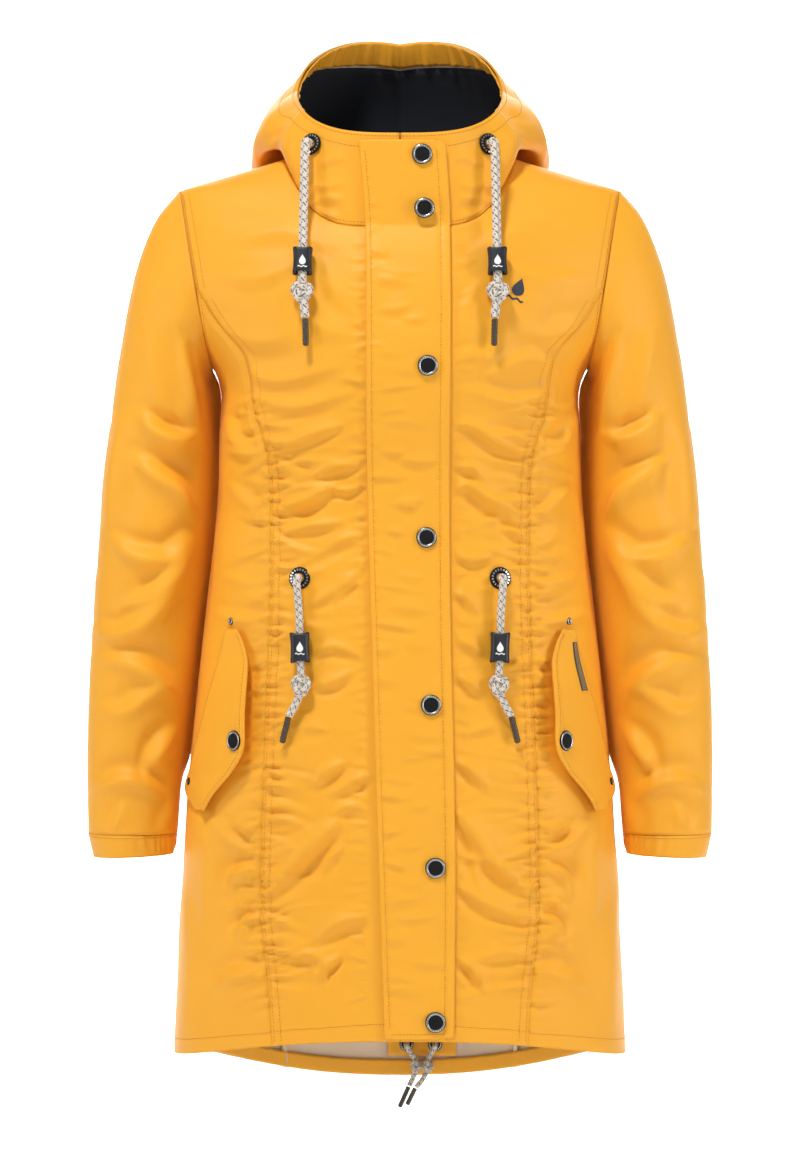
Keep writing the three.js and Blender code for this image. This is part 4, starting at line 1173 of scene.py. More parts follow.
def back_centre_relief(u, v, form, normal):
    x, z = form[..., 0], form[..., 2]
    height = 2.4 * folds(x, z, BACK_FOLDS) + swell(41, x, z, 140, 0.9)
    for sign, seed in ((-1, 31), (1, 33)):
        puckers = fan(seed, princess_x, (-775, -235), -1, 60, (30, 84), (0.8, 1.9))
        height += 2.2 * folds(sign * x, z, puckers, True)
    away = princess_x(z) - np.abs(x)
    height *= 1 - bell(away, 5)
    height += ruching(z, away) * beside_ruching(z)
    height *= 1 - 0.85 * (1 - ease(z, -872, -850)) * (np.abs(x) < 190)
    under_hood = ease(z, -140, -100) * (1 - ease(np.abs(x), 120, 150))
    return height * (1 - 0.8 * under_hood) * ease(v, 0, 0.012) * ease(1 - v, 0, 0.02)


panel = sew("cloth_back_centre", (78, 200), back_centre_form, back_centre_relief, hand=-1)
take_place(panel.piece, [yellow, cream], ["back_centre"])
declare(panel)
stitch_lines.append(panel.row(16, from_top=False))
low = PRINCESS_SHARE * 0.985
stitch_lines += [panel.column(inset, (0.004, low), far=far) for inset in (2.6, 9.0) for far in (True, False)]
for name, side in (RIGHT, LEFT):
    relief = side_relief(side, "back", 27 + side)
    form = side_form(side, "back")
    panel = sew(f"cloth_back_side_{name}", (26, 180), form, relief, hand=-side, tucks=["near", "far"])
    take_place(panel.piece, [yellow, cream], [f"back_side_{name}"])
    declare(panel)
    stitch_lines.append(panel.row(14, from_top=False))

# Sleeves: set in at the armhole and hanging nearly straight, with the deep zigzag folds of an empty arm.
# Each is one shell round the arm, and its folds are drawn on the front and repeated behind.
def line_through(rows):
    keyed = through([[i / (len(rows) - 1), x, z] for i, (x, z) in enumerate(rows)])
    return lambda t: (keyed(t, 0), keyed(t, 1))


sleeve_outer = line_through(
    [
        (208, -30),
        (231, -58),
        (247, -96),
        (257, -134),
        (264, -172),
        (271, -215),
        (278, -275),
        (284, -335),
        (289, -395),
        (293, -455),
        (296, -515),
        (297, -580),
        (296, -639),
    ]
)
sleeve_inner = line_through(
    [
        (177, -200),
        (180, -212),
        (178, -228),
        (177, -248),
        (177, -270),
        (178, -295),
        (180, -335),
        (184, -380),
        (189, -425),
        (194.5, -475),
        (201, -530),
        (207, -585),
        (211, -639),
    ]
)
sleeve_depths = through([[0, 60, 0], [0.2, 60, 2], [0.45, 57, 6], [0.7, 51, 4], [1, 43, -2]])


def sleeve_ring(u, t):
    """The sleeve's outer face on the wearer's left. Turn 0 is the outer line and half a turn the inner."""
    turn = u * 2 * math.pi
    outer, inner = sleeve_outer(t), sleeve_inner(t)
    share = (1 - np.cos(turn)) / 2
    x, z = mix(outer[0], inner[0], share), mix(outer[1], inner[1], share)
    depth = sleeve_depths(t, 0) * np.sin(turn) + sleeve_depths(t, 1)
    hole_z = mix(SHOULDER_Z, UNDERARM_Z, share)
    hole_angle = body_angle(armhole_x(hole_z), hole_z)
    front = body_point(1, "front", hole_angle, hole_z)[..., 1]
    back = body_point(1, "back", hole_angle, hole_z)[..., 1]
    y = mix(np.where(np.sin(turn) < 0, front, back), depth, ease(t, 0, 0.3))
    return x + 0.7 * (1 - ease(t, 0, 0.1)), y, z


def sleeve_form(side):
    def read(u, v):
        x, y, z = sleeve_ring(u, v)
        return np.stack([side * x, y, z], axis=-1)

    return read


SLEEVE_FOLDS = [
    ([(203, -178), (196, -226), (183, -282)], 9.8, 4.4),
    ([(236, -166), (228, -206), (222, -244)], 15, 2.0),
    ([(241, -246), (226, -262), (206, -268), (192, -262)], 9, 4.6),
    ([(250, -285), (232, -300), (210, -315), (190, -346)], 11.2, 5.0),
    ([(270, -362), (246, -378), (218, -380), (190, -352)], 10.5, 4.6),
    ([(258, -424), (238, -418), (214, -398), (192, -366)], 10.5, 4.4),
    ([(286, -446), (262, -452), (236, -436), (214, -408)], 10.5, 3.4),
    ([(278, -476), (250, -480), (222, -498), (204, -524)], 11.2, 4.2),
    ([(282, -520), (258, -524), (240, -512), (222, -500)], 9.8, 2.6),
    ([(236, -578), (222, -556), (208, -536)], 9, 4.2),
    ([(284, -598), (262, -588), (240, -592), (222, -604)], 9.8, 3.4),
    ([(222, -640), (216, -622), (213, -606)], 6.8, 2.4),
    ([(268, -636), (262, -622), (258, -610)], 6.8, 1.8),
    ([(262, -250), (268, -300), (274, -356)], 13.5, 2.2),
]
SLEEVE_BACK_FOLDS = [
    ([(203, -186), (200, -236), (186, -290)], 13, 4.0),
    ([(272, -262), (240, -284), (196, -280)], 14, 4.0),
    ([(262, -330), (228, -342), (192, -366)], 14, 4.4),
    ([(284, -400), (250, -420), (204, -412)], 15, 4.4),
    ([(272, -470), (240, -486), (208, -508)], 14, 3.8),
    ([(288, -560), (254, -566), (216, -584)], 14, 3.6),
]


def sleeve_relief(side, seed):
    """Folds of a sleeve, low where it faces the body and flat at the armhole and cuff."""

    def read(u, v, form, normal):
        x, y, z = side * form[..., 0], form[..., 1], form[..., 2]
        front = ease(-normal[..., 1], -0.25, 0.35)
        height = 2.6 * (front * folds(x, z, SLEEVE_FOLDS) + (1 - front) * folds(x, z, SLEEVE_BACK_FOLDS))
        height += swell(seed, 3 * u * 60 + x, z, 130, 0.8) * np.sin(math.pi * u) ** 0.5
        inner = ease(-side * normal[..., 0], 0.35, 0.95)
        height *= 1 - 0.85 * inner
        over = np.maximum(height - 8, 0)
        height -= 0.5 * over
        body_depth = np.where(y < 0, body_sections(z, 1), body_sections(z, 2))
        beside = body_width(z) * (1 - np.minimum(np.abs(y) / body_depth, 1) ** (2 * BODY_POWER)) ** (0.5 / BODY_POWER)
        touching = np.maximum(x - beside - 0.9, 0) * ease(-side * normal[..., 0], 0.3, 0.8)
        height += touching * bell(y - 12, 13) * ease(-z, 194, 205) * (1 - ease(-z, 560, 600))
        seam = v * 620
        height -= 0.4 * bell(seam - 4, 1.6)
        return height * ease(v, 0.003, 0.02) * ease(1 - v, 0, 0.02)

    return read


for name, side in (RIGHT, LEFT):
    relief = sleeve_relief(side, 51 + side)
    panel = sew(f"cloth_sleeve_{name}", (100, 176), sleeve_form(side), relief, -side, closed=True, tucks=["low"])
    take_place(panel.piece, [yellow, cream], [f"sleeve_{name}"])
    declare(panel)

# Cuffs: a doubled band at the sleeve's end, smooth outside and gathered by elastic on the half towards the body.
CUFF_BOTTOM = {"x": (291, 214), "z": (-662, -659)}  # its outer and inner ends


def cuff_form(side):
    def read(u, v):
        turn = u * 2 * math.pi
        x, y, z = sleeve_ring(u, np.ones_like(u))
        share = (1 - np.cos(turn)) / 2
        end = mix(*CUFF_BOTTOM["x"], share), y * 0.94, mix(*CUFF_BOTTOM["z"], share)
        x, y, z = mix(x, end[0], v), mix(y, end[1], v), mix(z, end[2], v)
        return np.stack([side * x, y, z - 2 * SEAM_GAP * (1 - v)], axis=-1)

    return read


def cuff_relief(side):
    def read(u, v, form, normal):
        inner = ease(-side * normal[..., 0], -0.35, 0.4)
        gathers = np.sin(u * 2 * math.pi * 30 + 2 * np.sin(u * 40) + 3 * v) * (0.6 + 0.4 * np.sin(u * 91))
        return 1.3 * (0.15 + 0.85 * inner) * gathers * np.sin(math.pi * np.clip(v + 0.08, 0, 1)) - 0.7 * inner

    return read


for name, side in (RIGHT, LEFT):
    panel = sew(f"cloth_cuff_{name}", (132, 10), cuff_form(side), cuff_relief(side), -side, CLOTH, True, ["low"])
    take_place(panel.piece, [yellow, cream], [f"cuff_{name}"])
    declare(panel)
    stitch_lines.append(panel.row(2.4, from_top=False))

# Collar: two stand halves from the neck seam to the rim, each with a rounded corner that holds the hood's eyelet.
# Its rim is turned in and stitched twice.
RIM = {"half_width": 98, "front": -100, "back": 150, "low": 12, "high": 133}
COLLAR_END = math.radians(66)
HOOD_PANEL_END = math.radians(148)
TURN_GAP = 0.0024


def neck_point(turn):
    """The neck seam, read by the turn round the neck from the middle front."""
    behind = turn >= math.pi / 2
    x = NECK_HALF_WIDTH * np.abs(np.sin(turn)) ** np.where(behind, 1, 0.74)
    z = neckline_z(x)
    front = body_point(1, "front", np.minimum(body_angle(x, z), SIDE_SEAM), z)
    back = np.stack([x, -75 * np.cos(turn), 0 * x], axis=-1)
    return np.where(behind[..., None], back, front)


def rim_point(turn):
    """The opening's upper edge."""
    corner = np.where(turn < math.pi / 2, 0.74, 1.0)
    middle, reach = (RIM["front"] + RIM["back"]) / 2, (RIM["back"] - RIM["front"]) / 2
    risen = ((1 - np.cos(turn)) / 2) ** 1.12
    lift = 9 * np.maximum(0, np.sin(2 * turn - math.pi))
    return np.stack(
        [
            RIM["half_width"] * np.abs(np.sin(turn)) ** corner,
            middle - reach * np.sign(np.cos(turn)) * np.abs(np.cos(turn)) ** corner,
            mix(RIM["low"], RIM["high"], risen) + lift,
        ],
        axis=-1,
    )


def stand_point(turn, v):
    """The stand between the neck seam and the rim, swelling into a corner where the collar ends."""
    outward = 15 * ease(turn, COLLAR_END / 2, COLLAR_END) * np.sin(math.pi * v)
    point = mix(neck_point(turn), rim_point(turn), v[..., None])
    point[..., 0] += outward * math.sin(COLLAR_END)
    point[..., 1] -= outward * math.cos(COLLAR_END)
    return point


def collar_point(turn, v):
    point = stand_point(np.abs(turn), v)
    point[..., 2] += 0.5 * np.maximum(0, 1 - v * 8)
    point[..., 0] *= np.where(turn < 0, -1, 1)
    return point


def collar_form(side):
    def read(u, v):
        return collar_point(side * mix(TURN_GAP, COLLAR_END - TURN_GAP, u), v)

    return read


def collar_relief(side):
    """Soft drag lines towards the eyelet, and pads where the turned seams lie."""

    def read(u, v, form, normal):
        x, z = side * form[..., 0], form[..., 2]
        drags = [
            ([(42, -54), (66, -46), (90, -52)], 6, 2.6),
            ([(46, -32), (72, -36), (96, -30)], 6, 2.2),
            ([(42, -14), (60, -10), (78, -18)], 5, 1.6),
            ([(48, -66), (76, -62), (100, -46)], 5, 2.0),
        ]
        height = folds(x, z, drags) + swell(61 + side, x, z, 60, 0.35)
        height *= ease(u, 0.3, 0.45) * (1 - ease(u, 0.86, 0.97))
        height += 0.5 * ease(v, 0.76, 0.88)
        return height * ease(v, 0, 0.06)

    return read


for name, side in (RIGHT, LEFT):
    tucks = ["low", "far", "near"] if side < 0 else ["low", "far"]
    panel = sew(f"cloth_collar_{name}", (64, 48), collar_form(side), collar_relief(side), side, tucks=tucks)
    take_place(panel.piece, [yellow, cream], [f"collar_{name}"])
    declare(panel)
    stitch_lines += [panel.row(inset) for inset in (3.0, 13.5)]
    stitch_lines.append(panel.row(3.2, from_top=False))

# Hood: laid back behind the neck as a pouch, two side panels and a centre panel from neck seam to rim.
# Its cloth goes up over a crest, down into the pouch and up the outer leg to the rim.
HOOD_TURNS = [COLLAR_END, *[math.radians(angle) for angle in (90, 120, 150, 180)]]
HOOD_STATIONS = [
    [(111, 2, 24), (98, 58, 30), (56, 84, 30), (0, 92, 30)],
    [(121, 8, 10), (112, 70, -8), (62, 108, -36), (0, 119, -44)],
    [(135, 16, 4), (132, 90, -34), (80, 143, -88), (0, 152, -102)],
    [(138, 12, 22), (137, 98, 0), (88, 168, -42), (0, 186, -50)],
    [(125, 6, 46), (115, 90, 62), (74, 166, 54), (0, 190, 50)],
]

HOOD_STEPS = len(HOOD_STATIONS) + 1  # from the neck seam through the stations to the rim


def hood_station(order, turn):
    """One station of the section, growing out of the plain stand past the collar's end."""
    share = np.full(np.shape(turn), (order + 1) / HOOD_STEPS)
    start = stand_point(np.array([COLLAR_END]), share.ravel()[:1])[0]
    rows = [[at, *spot] for at, spot in zip(HOOD_TURNS, [tuple(start), *HOOD_STATIONS[order]])]
    read = through(rows)
    blend = ease(turn, COLLAR_END, COLLAR_END + math.radians(12))[..., None]
    target = np.stack([read(turn, k) for k in range(3)], axis=-1)
    return mix(stand_point(turn, share), target, blend)


def hood_point(turn, v):
    """The hood's outer face, from the neck seam over crest and pouch to the rim."""
    folded = np.where(turn > math.pi, 2 * math.pi - turn, turn)
    between = [hood_station(k, folded) for k in range(len(HOOD_STATIONS))]
    stops = [neck_point(folded), *between, rim_point(folded)]
    stops = np.stack(stops)
    slopes = np.concatenate([stops[1:2] - stops[:1], (stops[2:] - stops[:-2]) / 2, stops[-1:] - stops[-2:-1]])
    i = np.clip(np.ceil(v * HOOD_STEPS).astype(int) - 1, 0, HOOD_STEPS - 1)
    t = (v * HOOD_STEPS - i)[..., None]
    rest = 1 - t

    def pick(table, at):
        return np.take_along_axis(table, np.broadcast_to(at[None, ..., None], (1, *at.shape, 3)), axis=0)[0]

    start = pick(stops, i) * (1 + 2 * t) + pick(slopes, i) * t
    end = pick(stops, i + 1) * (3 - 2 * t) - pick(slopes, i + 1) * rest
    point = rest * rest * start + t * t * end
    point[..., 2] += 1.7 * np.maximum(0, 1 - v * 8)
    point[..., 0] *= np.where(turn > math.pi, -1, 1)
    return point


def hood_form(low_turn, high_turn, low_share=0.0, high_share=1.0, sunk=0.0):
    """A stretch of hood between two turns and two shares of its section, sunk below the outer face."""

    def read(u, v):
        turn, share = mix(low_turn, high_turn, u), mix(low_share, high_share, v)
        point = hood_point(turn, share)
        if sunk:
            step = 0.006
            across = hood_point(turn + step, share) - hood_point(turn - step, share)
            up = hood_point(turn, np.minimum(share + step, 1)) - hood_point(turn, np.maximum(share - step, 0))
            normal = np.cross(across, up)
            point = point - sunk * normal / np.linalg.norm(normal, axis=-1)[..., None]
        return point

    return read


def hood_relief(seed):
    """Soft drags down the hood's sides and a padded turned edge at its rim."""

    def read(u, v, form, normal):
        chance = np.random.default_rng(seed)
        height = 0 * u
        for _ in range(9):
            start, lean = chance.uniform(0.05, 0.95), chance.uniform(-0.3, 0.3)
            low, reach = chance.uniform(0.45, 0.8), chance.uniform(0.12, 0.3)
            away = (u - start - lean * (v - low)) * 170
            along = np.clip(1 - np.abs(v - low) / reach, 0, 1)
            height += chance.uniform(0.7, 1.6) * along * np.exp(-((away / chance.uniform(5, 9)) ** 2))
        height += swell(seed, u * 170, v * 380, 90, 0.5)
        height *= ease(u, 0, 0.08) * ease(1 - u, 0, 0.08) * ease(v, 0.1, 0.3)
        return height + 0.5 * ease(v, 0.955, 0.98)

    return read


panel_turn = HOOD_PANEL_END - TURN_GAP
hood_spans = {
    "hood_side_left": (COLLAR_END + TURN_GAP, panel_turn),
    "hood_centre": (HOOD_PANEL_END + TURN_GAP, 2 * math.pi - HOOD_PANEL_END - TURN_GAP),
    "hood_side_right": (2 * math.pi - panel_turn, 2 * math.pi - COLLAR_END - TURN_GAP),
}
for order, (name, span) in enumerate(hood_spans.items()):
    grid = (44 if order == 1 else 66, 96)
    panel = sew(f"cloth_{name}", grid, hood_form(*span), hood_relief(71 + order), tucks=["low"])
    take_place(panel.piece, [yellow, cream], [name])
    declare(panel)
    stitch_lines += [panel.row(inset) for inset in (3.0, 13.5)]
    if order == 1:
        stitch_lines += [panel.column(3, (0.3, 1), far) for far in (True, False)]

# Hood facing and lining: a gathered yellow band inside the rim, and navy jersey in the rest of the hood.
# The band is puckered by its drawcord tunnel, and the lining has seams down each side of its middle.
FIRST_INSIDE = mix(COLLAR_END + TURN_GAP, panel_turn, 2 / 8)
INSIDE_SPAN = (FIRST_INSIDE, 2 * math.pi - FIRST_INSIDE)
FACING_LOW = 0.957


def facing_relief(u, v, form, normal):
    """Puckers across the band, deepest at its stitched lower edge."""
    turn = u * 300
    pucker = np.sin(turn * 0.42 + 1.9 * np.sin(turn * 0.061)) + 0.6 * np.sin(turn * 0.93 + 2 * np.sin(turn * 0.047))
    pucker = np.sign(pucker) * np.abs(pucker) ** 0.8
    lean = np.sin(turn * 0.21 + v * 1.8)
    return -0.2 - (1.1 - 1.4 * pucker) * (0.35 + 0.65 * (1 - v)) * (0.7 + 0.3 * lean) * ease(1 - v, 0, 0.1)


def lining_relief(u, v, form, normal):
    """Seams as narrow grooves between soft pads."""
    height = swell(81, u * 300, v * 330, 110, 0.7) * ease(1 - v, 0, 0.1)
    for turn in (158, 202):
        seam = (math.radians(turn) - INSIDE_SPAN[0]) / (INSIDE_SPAN[1] - INSIDE_SPAN[0])
        away = (u - seam) * 620
        height += 0.7 * bell(away, 7) - 1.5 * bell(away, 1.8)
    return height + 0.5 * ease(v, 0.95, 0.99)


depth = CLOTH + 2 * SEAM_GAP
facing_on_rim = hood_form(*INSIDE_SPAN, FACING_LOW, 1, depth)
facing = sew("cloth_hood_facing", (300, 10), facing_on_rim, facing_relief, wall=LINING)
navy = cloth_material("navy_jersey", (0.016, 0.018, 0.026), (0.012, 0.014, 0.021), 0.92, 2.0)
take_place(facing.piece, [yellow, yellow], ["hood_facing"])
declare(facing)
lining_form = hood_form(*INSIDE_SPAN, 1 / 12, FACING_LOW - 0.006, depth)
lining = sew("cloth_hood_lining", (104, 60), lining_form, lining_relief, wall=LINING)
take_place(lining.piece, [navy, navy], ["hood_lining"])
declare(lining)

# Storm flap: a doubled strip down the front that covers the zip, lying over both front panels and the collar.
# Its sides are turned and stitched, with fine puckers along the stitches and rounded right-hand corners.
flap_left_edge = through([[-818, -14], [-640, -20], [-480, -25], [-300, -30], [-74, -32], [12, -38]])
flap_right_edge = through([[-818, 49], [-640, 50], [-440, 46], [-300, 45], [-74, 46], [12, 41]])
FLAP_TOP = 5.5
FLAP_BOTTOM = -818
FLAP_LIFT = CLOTH + 4 * SEAM_GAP
FLAP_CORNER = 8


def front_face(x, z):
    """The front's outer face at a place in the front view, with the collar above the neckline."""
    on_body = body_point(1, "front", np.sign(x) * body_angle(x, z), np.minimum(z, neckline_z(x)))
    low, high = np.zeros_like(x), np.full_like(x, math.radians(86))

    def share(turn):
        start, end = neck_point(turn)[..., 2], rim_point(turn)[..., 2]
        return np.clip((z - start) / (end - start), 0, 1)

    for _ in range(22):
        middle = (low + high) / 2
        inside = collar_point(middle, share(middle))[..., 0] < np.abs(x)
        low, high = np.where(inside, middle, low), np.where(inside, high, middle)
    on_collar = collar_point(low, share(low))
    on_collar[..., 0] *= np.where(x < 0, -1, 1)
    return np.where((z <= neckline_z(x))[..., None], on_body, on_collar)


def flap_form(u, v):
    z = mix(FLAP_BOTTOM, FLAP_TOP, v)
    end = np.minimum(np.minimum(z - FLAP_BOTTOM, FLAP_TOP - z), FLAP_CORNER)
    cut = FLAP_CORNER - np.sqrt(np.maximum(FLAP_CORNER ** 2 - (FLAP_CORNER - end) ** 2, 0))
    x = mix(flap_left_edge(z), flap_right_edge(z) - cut, u)
    return front_face(x, z) + FLAP_LIFT * normal_by_steps(front_face, x, z, 3.0, 3.0)


SNAPS = [
    (20, -8, 0),
    (22, -58, 4.5),
    (25, -204, 0),
    (24, -361, 0),
    (28, -514, 0),
    (32, -662, 0),
    (32, -802, 0),
]
flap_ripples = []
chance = np.random.default_rng(91)
for k in range(44):
    z = mix(-800, -90, (k + chance.uniform(0.1, 0.9)) / 44)
    start = chance.uniform(-34, 12)
    end = start + chance.uniform(16, 44)
    lean = chance.uniform(-7, 7)
    places = [(start, z), ((start + end) / 2, z + lean * 0.5 + chance.uniform(-2.5, 2.5)), (end, z + lean)]
    flap_ripples.append((places, chance.uniform(3.2, 6.5), chance.uniform(0.5, 1.35)))
flap_nips = fan(93, lambda z: 44 + 0 * z, (-805, -20), -1, 86, (8, 20), (0.3, 0.8))
flap_nips += fan(95, lambda z: flap_left_edge(z) + 3, (-805, -20), 1, 86, (8, 20), (0.3, 0.8))


def flap_relief(u, v, form, normal):
    """Cross ripples, nips at both stitch lines, plump turned edges and dimples under the snaps."""
    x, z = form[..., 0], form[..., 2]
    height = 1.9 * folds(x, z, flap_ripples) + 2.0 * folds(x, z, flap_nips, True) + swell(97, x, z, 80, 0.4)
    for snap_x, snap_z, _ in SNAPS:
        height *= 1 - 0.9 * np.exp(-(((x - snap_x) ** 2 + (z - snap_z) ** 2) / 15 ** 2))
    near_left, near_right = x - flap_left_edge(z), flap_right_edge(z) - x
    height *= ease(near_left, 2, 7) * ease(near_right, 4, 11)
    height += 0.7 * (1 - ease(near_right, 5, 9)) + 0.35 * (1 - ease(near_left, 4, 8))
    nips = 0.8 + 0.5 * np.sin(z * 0.95 + 2 * np.sin(z * 0.11))
    height -= nips * bell(near_right - 9, 1.3) + nips * bell(near_left - 5, 1.3)
    edge = np.minimum(near_left, near_right)
    return np.maximum(height, -1.3) - 0.5 * (1 - ease(edge, 0, 2.2))


flap = sew("cloth_storm_flap", (44, 420), flap_form, flap_relief)
take_place(flap.piece, [yellow, cream], ["storm_flap"])
declare(flap)
stitch_lines += [flap.column(9, (0.012, 0.99)), flap.column(5, (0.012, 0.99), False), flap.row(5, (0.1, 0.86), False)]

# Snaps, rivets: enamelled caps with a silver ring, seven down the flap and one on each pocket flap.
# A rivet holds each end of a pocket's sewn edge.
def snap_cap(name, centre, axis):
    """A snap's cap: a cloth-textured black middle in a silver ring with plain dark dashes, and a black rim."""
    profile = [
        (9.3, -0.4, 0, 0),
        (9.4, 0.8, 0, 0),
        (9.0, 1.5, 0, 0),
        (8.6, 1.8, 1, 0),
        (8.2, 1.95, 1, 22),
        (7.4, 1.95, 1, 0),
        (7.0, 1.7, 0, 0),
        (6.6, 1.45, 0, 0),
        (4.0, 1.65, 0, 0),
        (0.02, 1.75, 0, 0),
    ]
    return turned(name, profile, centre, axis, 88)


def normal_on_front(x, z, lift):
    """A point above the front's face, and the normal there."""
    x, z = np.array([float(x)]), np.array([float(z)])
    normal = normal_by_steps(front_face, x, z, 3.0, 3.0)[0]
    return front_face(x, z)[0] + lift * normal, normal


for number, (x, z, extra) in enumerate(SNAPS, 1):
    centre, axis = normal_on_front(x, z, FLAP_LIFT + 0.8 + extra)
    cap = snap_cap(f"cap_{number}", centre, axis)
    take_place(cap, [enamel_material, silver_material], [f"snap_{number}"])


def stud(level, name, centre, axis):
    """A small rivet at one end of a pocket's sewn edge."""
    profile = [(3.4, -0.3, 0, 0), (3.4, 0.7, 0, 0), (2.9, 1.2, 1, 0), (2.2, 1.4, 1, 0), (1.7, 1.1, 0, 0)]
    profile += [(1.2, 1.2, 0, 0), (0.8, 1.7, 1, 0), (0.02, 1.9, 1, 0)]
    rivet = turned(f"stud_{level}_{name}", profile, centre, axis, 32)
    take_place(rivet, [enamel_material, silver_material], [f"rivet_{level}_{name}"])


for name, side in (RIGHT, LEFT):
    stud("upper", name, *normal_on_front(side * 156, -438, 1.4))

# Pocket flaps: slanted kite-shaped flaps whose free edges face the middle and stand off the body.
# Each closes with one snap, and the wearer's left one carries a plain woven strip.
pocket_edges = through(
    [
        [-616, 186, 176],
        [-598, 199, 166],
        [-575, 193.5, 147],
        [-556, 189, 136.5],
        [-520, 180, 135],
        [-480, 169, 135],
        [-458, 163, 141],
        [-444, 159, 148],
    ]
)
POCKET_BOTTOM, POCKET_TOP = -614, -446
POCKET_SNAP = (0.86, 0.39)  # shares across and up the flap
POCKET_RIVET = (0.2, 0.15)


def pocket_point(side, u, v):
    """A flap's outer face. It stands further off the body towards its free edge."""
    z = mix(POCKET_BOTTOM, POCKET_TOP, v)

    def front_of_body(angle, height):
        return body_point(side, "front", angle, height)

    angle = mix(body_angle(pocket_edges(z, 0), z), body_angle(pocket_edges(z, 1), z), u)
    lift = 6 * SEAM_GAP + CLOTH + u * u * (3 + 9 * np.sin(math.pi * (1 - v)) ** 2 + 3 * (1 - v))
    return front_of_body(angle, z) + side * lift[..., None] * normal_by_steps(front_of_body, angle, z, 0.01, 2)


def pocket_relief(u, v, form, normal):
    height = swell(101, u * 50, v * 170, 70, 0.35)
    height += 0.45 * bell(u - 0.93, 0.06) - 0.4 * bell(u - 0.86, 0.02)
    return height * ease(u, 0, 0.1)


for name, side in (RIGHT, LEFT):
    panel = sew(
        f"cloth_pocket_flap_{name}",
        (34, 96),
        lambda u, v, side=side: pocket_point(side, u, v),
        pocket_relief,
        hand=-side,
    )
    take_place(panel.piece, [yellow, yellow], [f"pocket_flap_{name}"])
    if name == "right":
        declare(panel)
    panels[f"pocket_flap_{name}"] = panel
    stitch_lines += [panel.column(4.5, (0.03, 0.97)), panel.column(3, (0.03, 0.97), far=False)]
    centre, axis = panel.at(*np.array(POCKET_SNAP)[:, None])
    cap = snap_cap(f"pocket_cap_{name}", centre[0] + 0.2 * axis[0], axis[0])
    take_place(cap, [enamel_material, silver_material], [f"pocket_snap_{name}"])
    centre, axis = panel.at(*np.array(POCKET_RIVET)[:, None])
    stud("lower", name, centre[0] + 0.5 * axis[0], axis[0])

label_material = plain_material("woven_strip", (0.02, 0.021, 0.024), 0.8)
label_place = add_node(label_material, "ShaderNodeAttribute", attribute_name="weave")
label_mix = add_node(label_material, "ShaderNodeMix", data_type="RGBA")
label_mix.inputs[6].default_value = (0.022, 0.022, 0.024, 1)
label_mix.inputs[7].default_value = (0.46, 0.30, 0.14, 1)
wire(label_material, label_place, label_mix, "Fac", 0)
wire(label_material, label_mix, label_material.node_tree.nodes["Principled BSDF"], 2, "Base Color")
flap_left = panels["pocket_flap_left"]


def label_form(u, v):
    shape = u.shape
    point, normal = flap_left.at(mix(0.15, 0.32, u).ravel(), mix(0.66, 0.93, v).ravel())
    return (point + 0.95 * normal).reshape(*shape, 3)


LABEL_GRID = (14, 90)
label = sew("label_strip", LABEL_GRID, label_form, lambda u, v, form, normal: 0 * u, hand=-1, wall=0.7)
take_place(label.piece, [label_material, label_material], ["pocket_label"])
u, v = np.meshgrid(*[np.linspace(0, 1, count + 1) for count in LABEL_GRID])
dashes = ((v * 22 + np.abs(u - 0.5) * 1.4) % 1 < 0.42) & (np.abs(u - 0.5) < 0.36)
weave = label.piece.data.attributes.new("weave", "FLOAT", "POINT")
weave.data.foreach_set("value", dashes.astype(float).ravel())
declare(flap_left)

# Back hem inside: a narrow turned facing along the dropped hem, and a small doubled patch for the cord's eyelets.
# Both are the yellow cloth against the cream inside face.
def back_inside(x, z, inward):
    """A point inside the back wall."""
    angle = np.sign(x) * body_angle(x, z)

    def back_of_body(angle, height):
        return body_point(1, "back", angle, height)

    return back_of_body(angle, z) + inward * normal_by_steps(back_of_body, angle, z, 0.01, 2)


HEM_FACING = {"reach": 186, "height": 15}
HEM_PATCH = {"x": (-12, 56), "z": (-871, -843)}


def facing_form(u, v):
    x = mix(-HEM_FACING["reach"], HEM_FACING["reach"], u)
    return back_inside(x, hem_z("back", x) + 1 + HEM_FACING["height"] * v, CLOTH + 8 * SEAM_GAP)


def patch_form(u, v):
    return back_inside(mix(*HEM_PATCH["x"], u), mix(*HEM_PATCH["z"], v), CLOTH + 0.8 + 1.4)


def hem_pucker(u, v, form, normal):
    return 0.3 * np.sin(form[..., 0] * 0.37 + 2 * np.sin(form[..., 0] * 0.05)) * ease(v, 0, 0.3)


inside_pieces = {"hem_facing": (facing_form, "hem_facing_back"), "patch": (patch_form, "hem_eyelet_patch")}
for piece_name, (form, node) in inside_pieces.items():
    panel = sew(f"cloth_{piece_name}", (120, 8), form, hem_pucker, wall=LINING)
    take_place(panel.piece, [yellow, yellow], [node])
    declare(panel)
    stitch_lines.append(panel.row(1.6))

# Chest print: a plain raindrop over a wave, in navy, on the wearer's left chest beside the hood cord.
# It is printed, so it is a skin a quarter of a millimetre proud of the panel.
chest = raindrop("chest_print", (108.5, -150, -133), 17.5, lean=-0.35, thickness=0.2)
cling = chest.modifiers.new("on_the_panel", "SHRINKWRAP")
cling.target = panels["front_centre_left"].piece
cling.wrap_method = "PROJECT"
cling.use_project_x = False
cling.use_project_y = True
cling.use_project_z = False
cling.use_positive_direction = True
cling.offset = 0.3 * MM
chest_ink = plain_material("navy_print", (0.035, 0.04, 0.055), 0.7)
take_place(chest, [chest_ink])
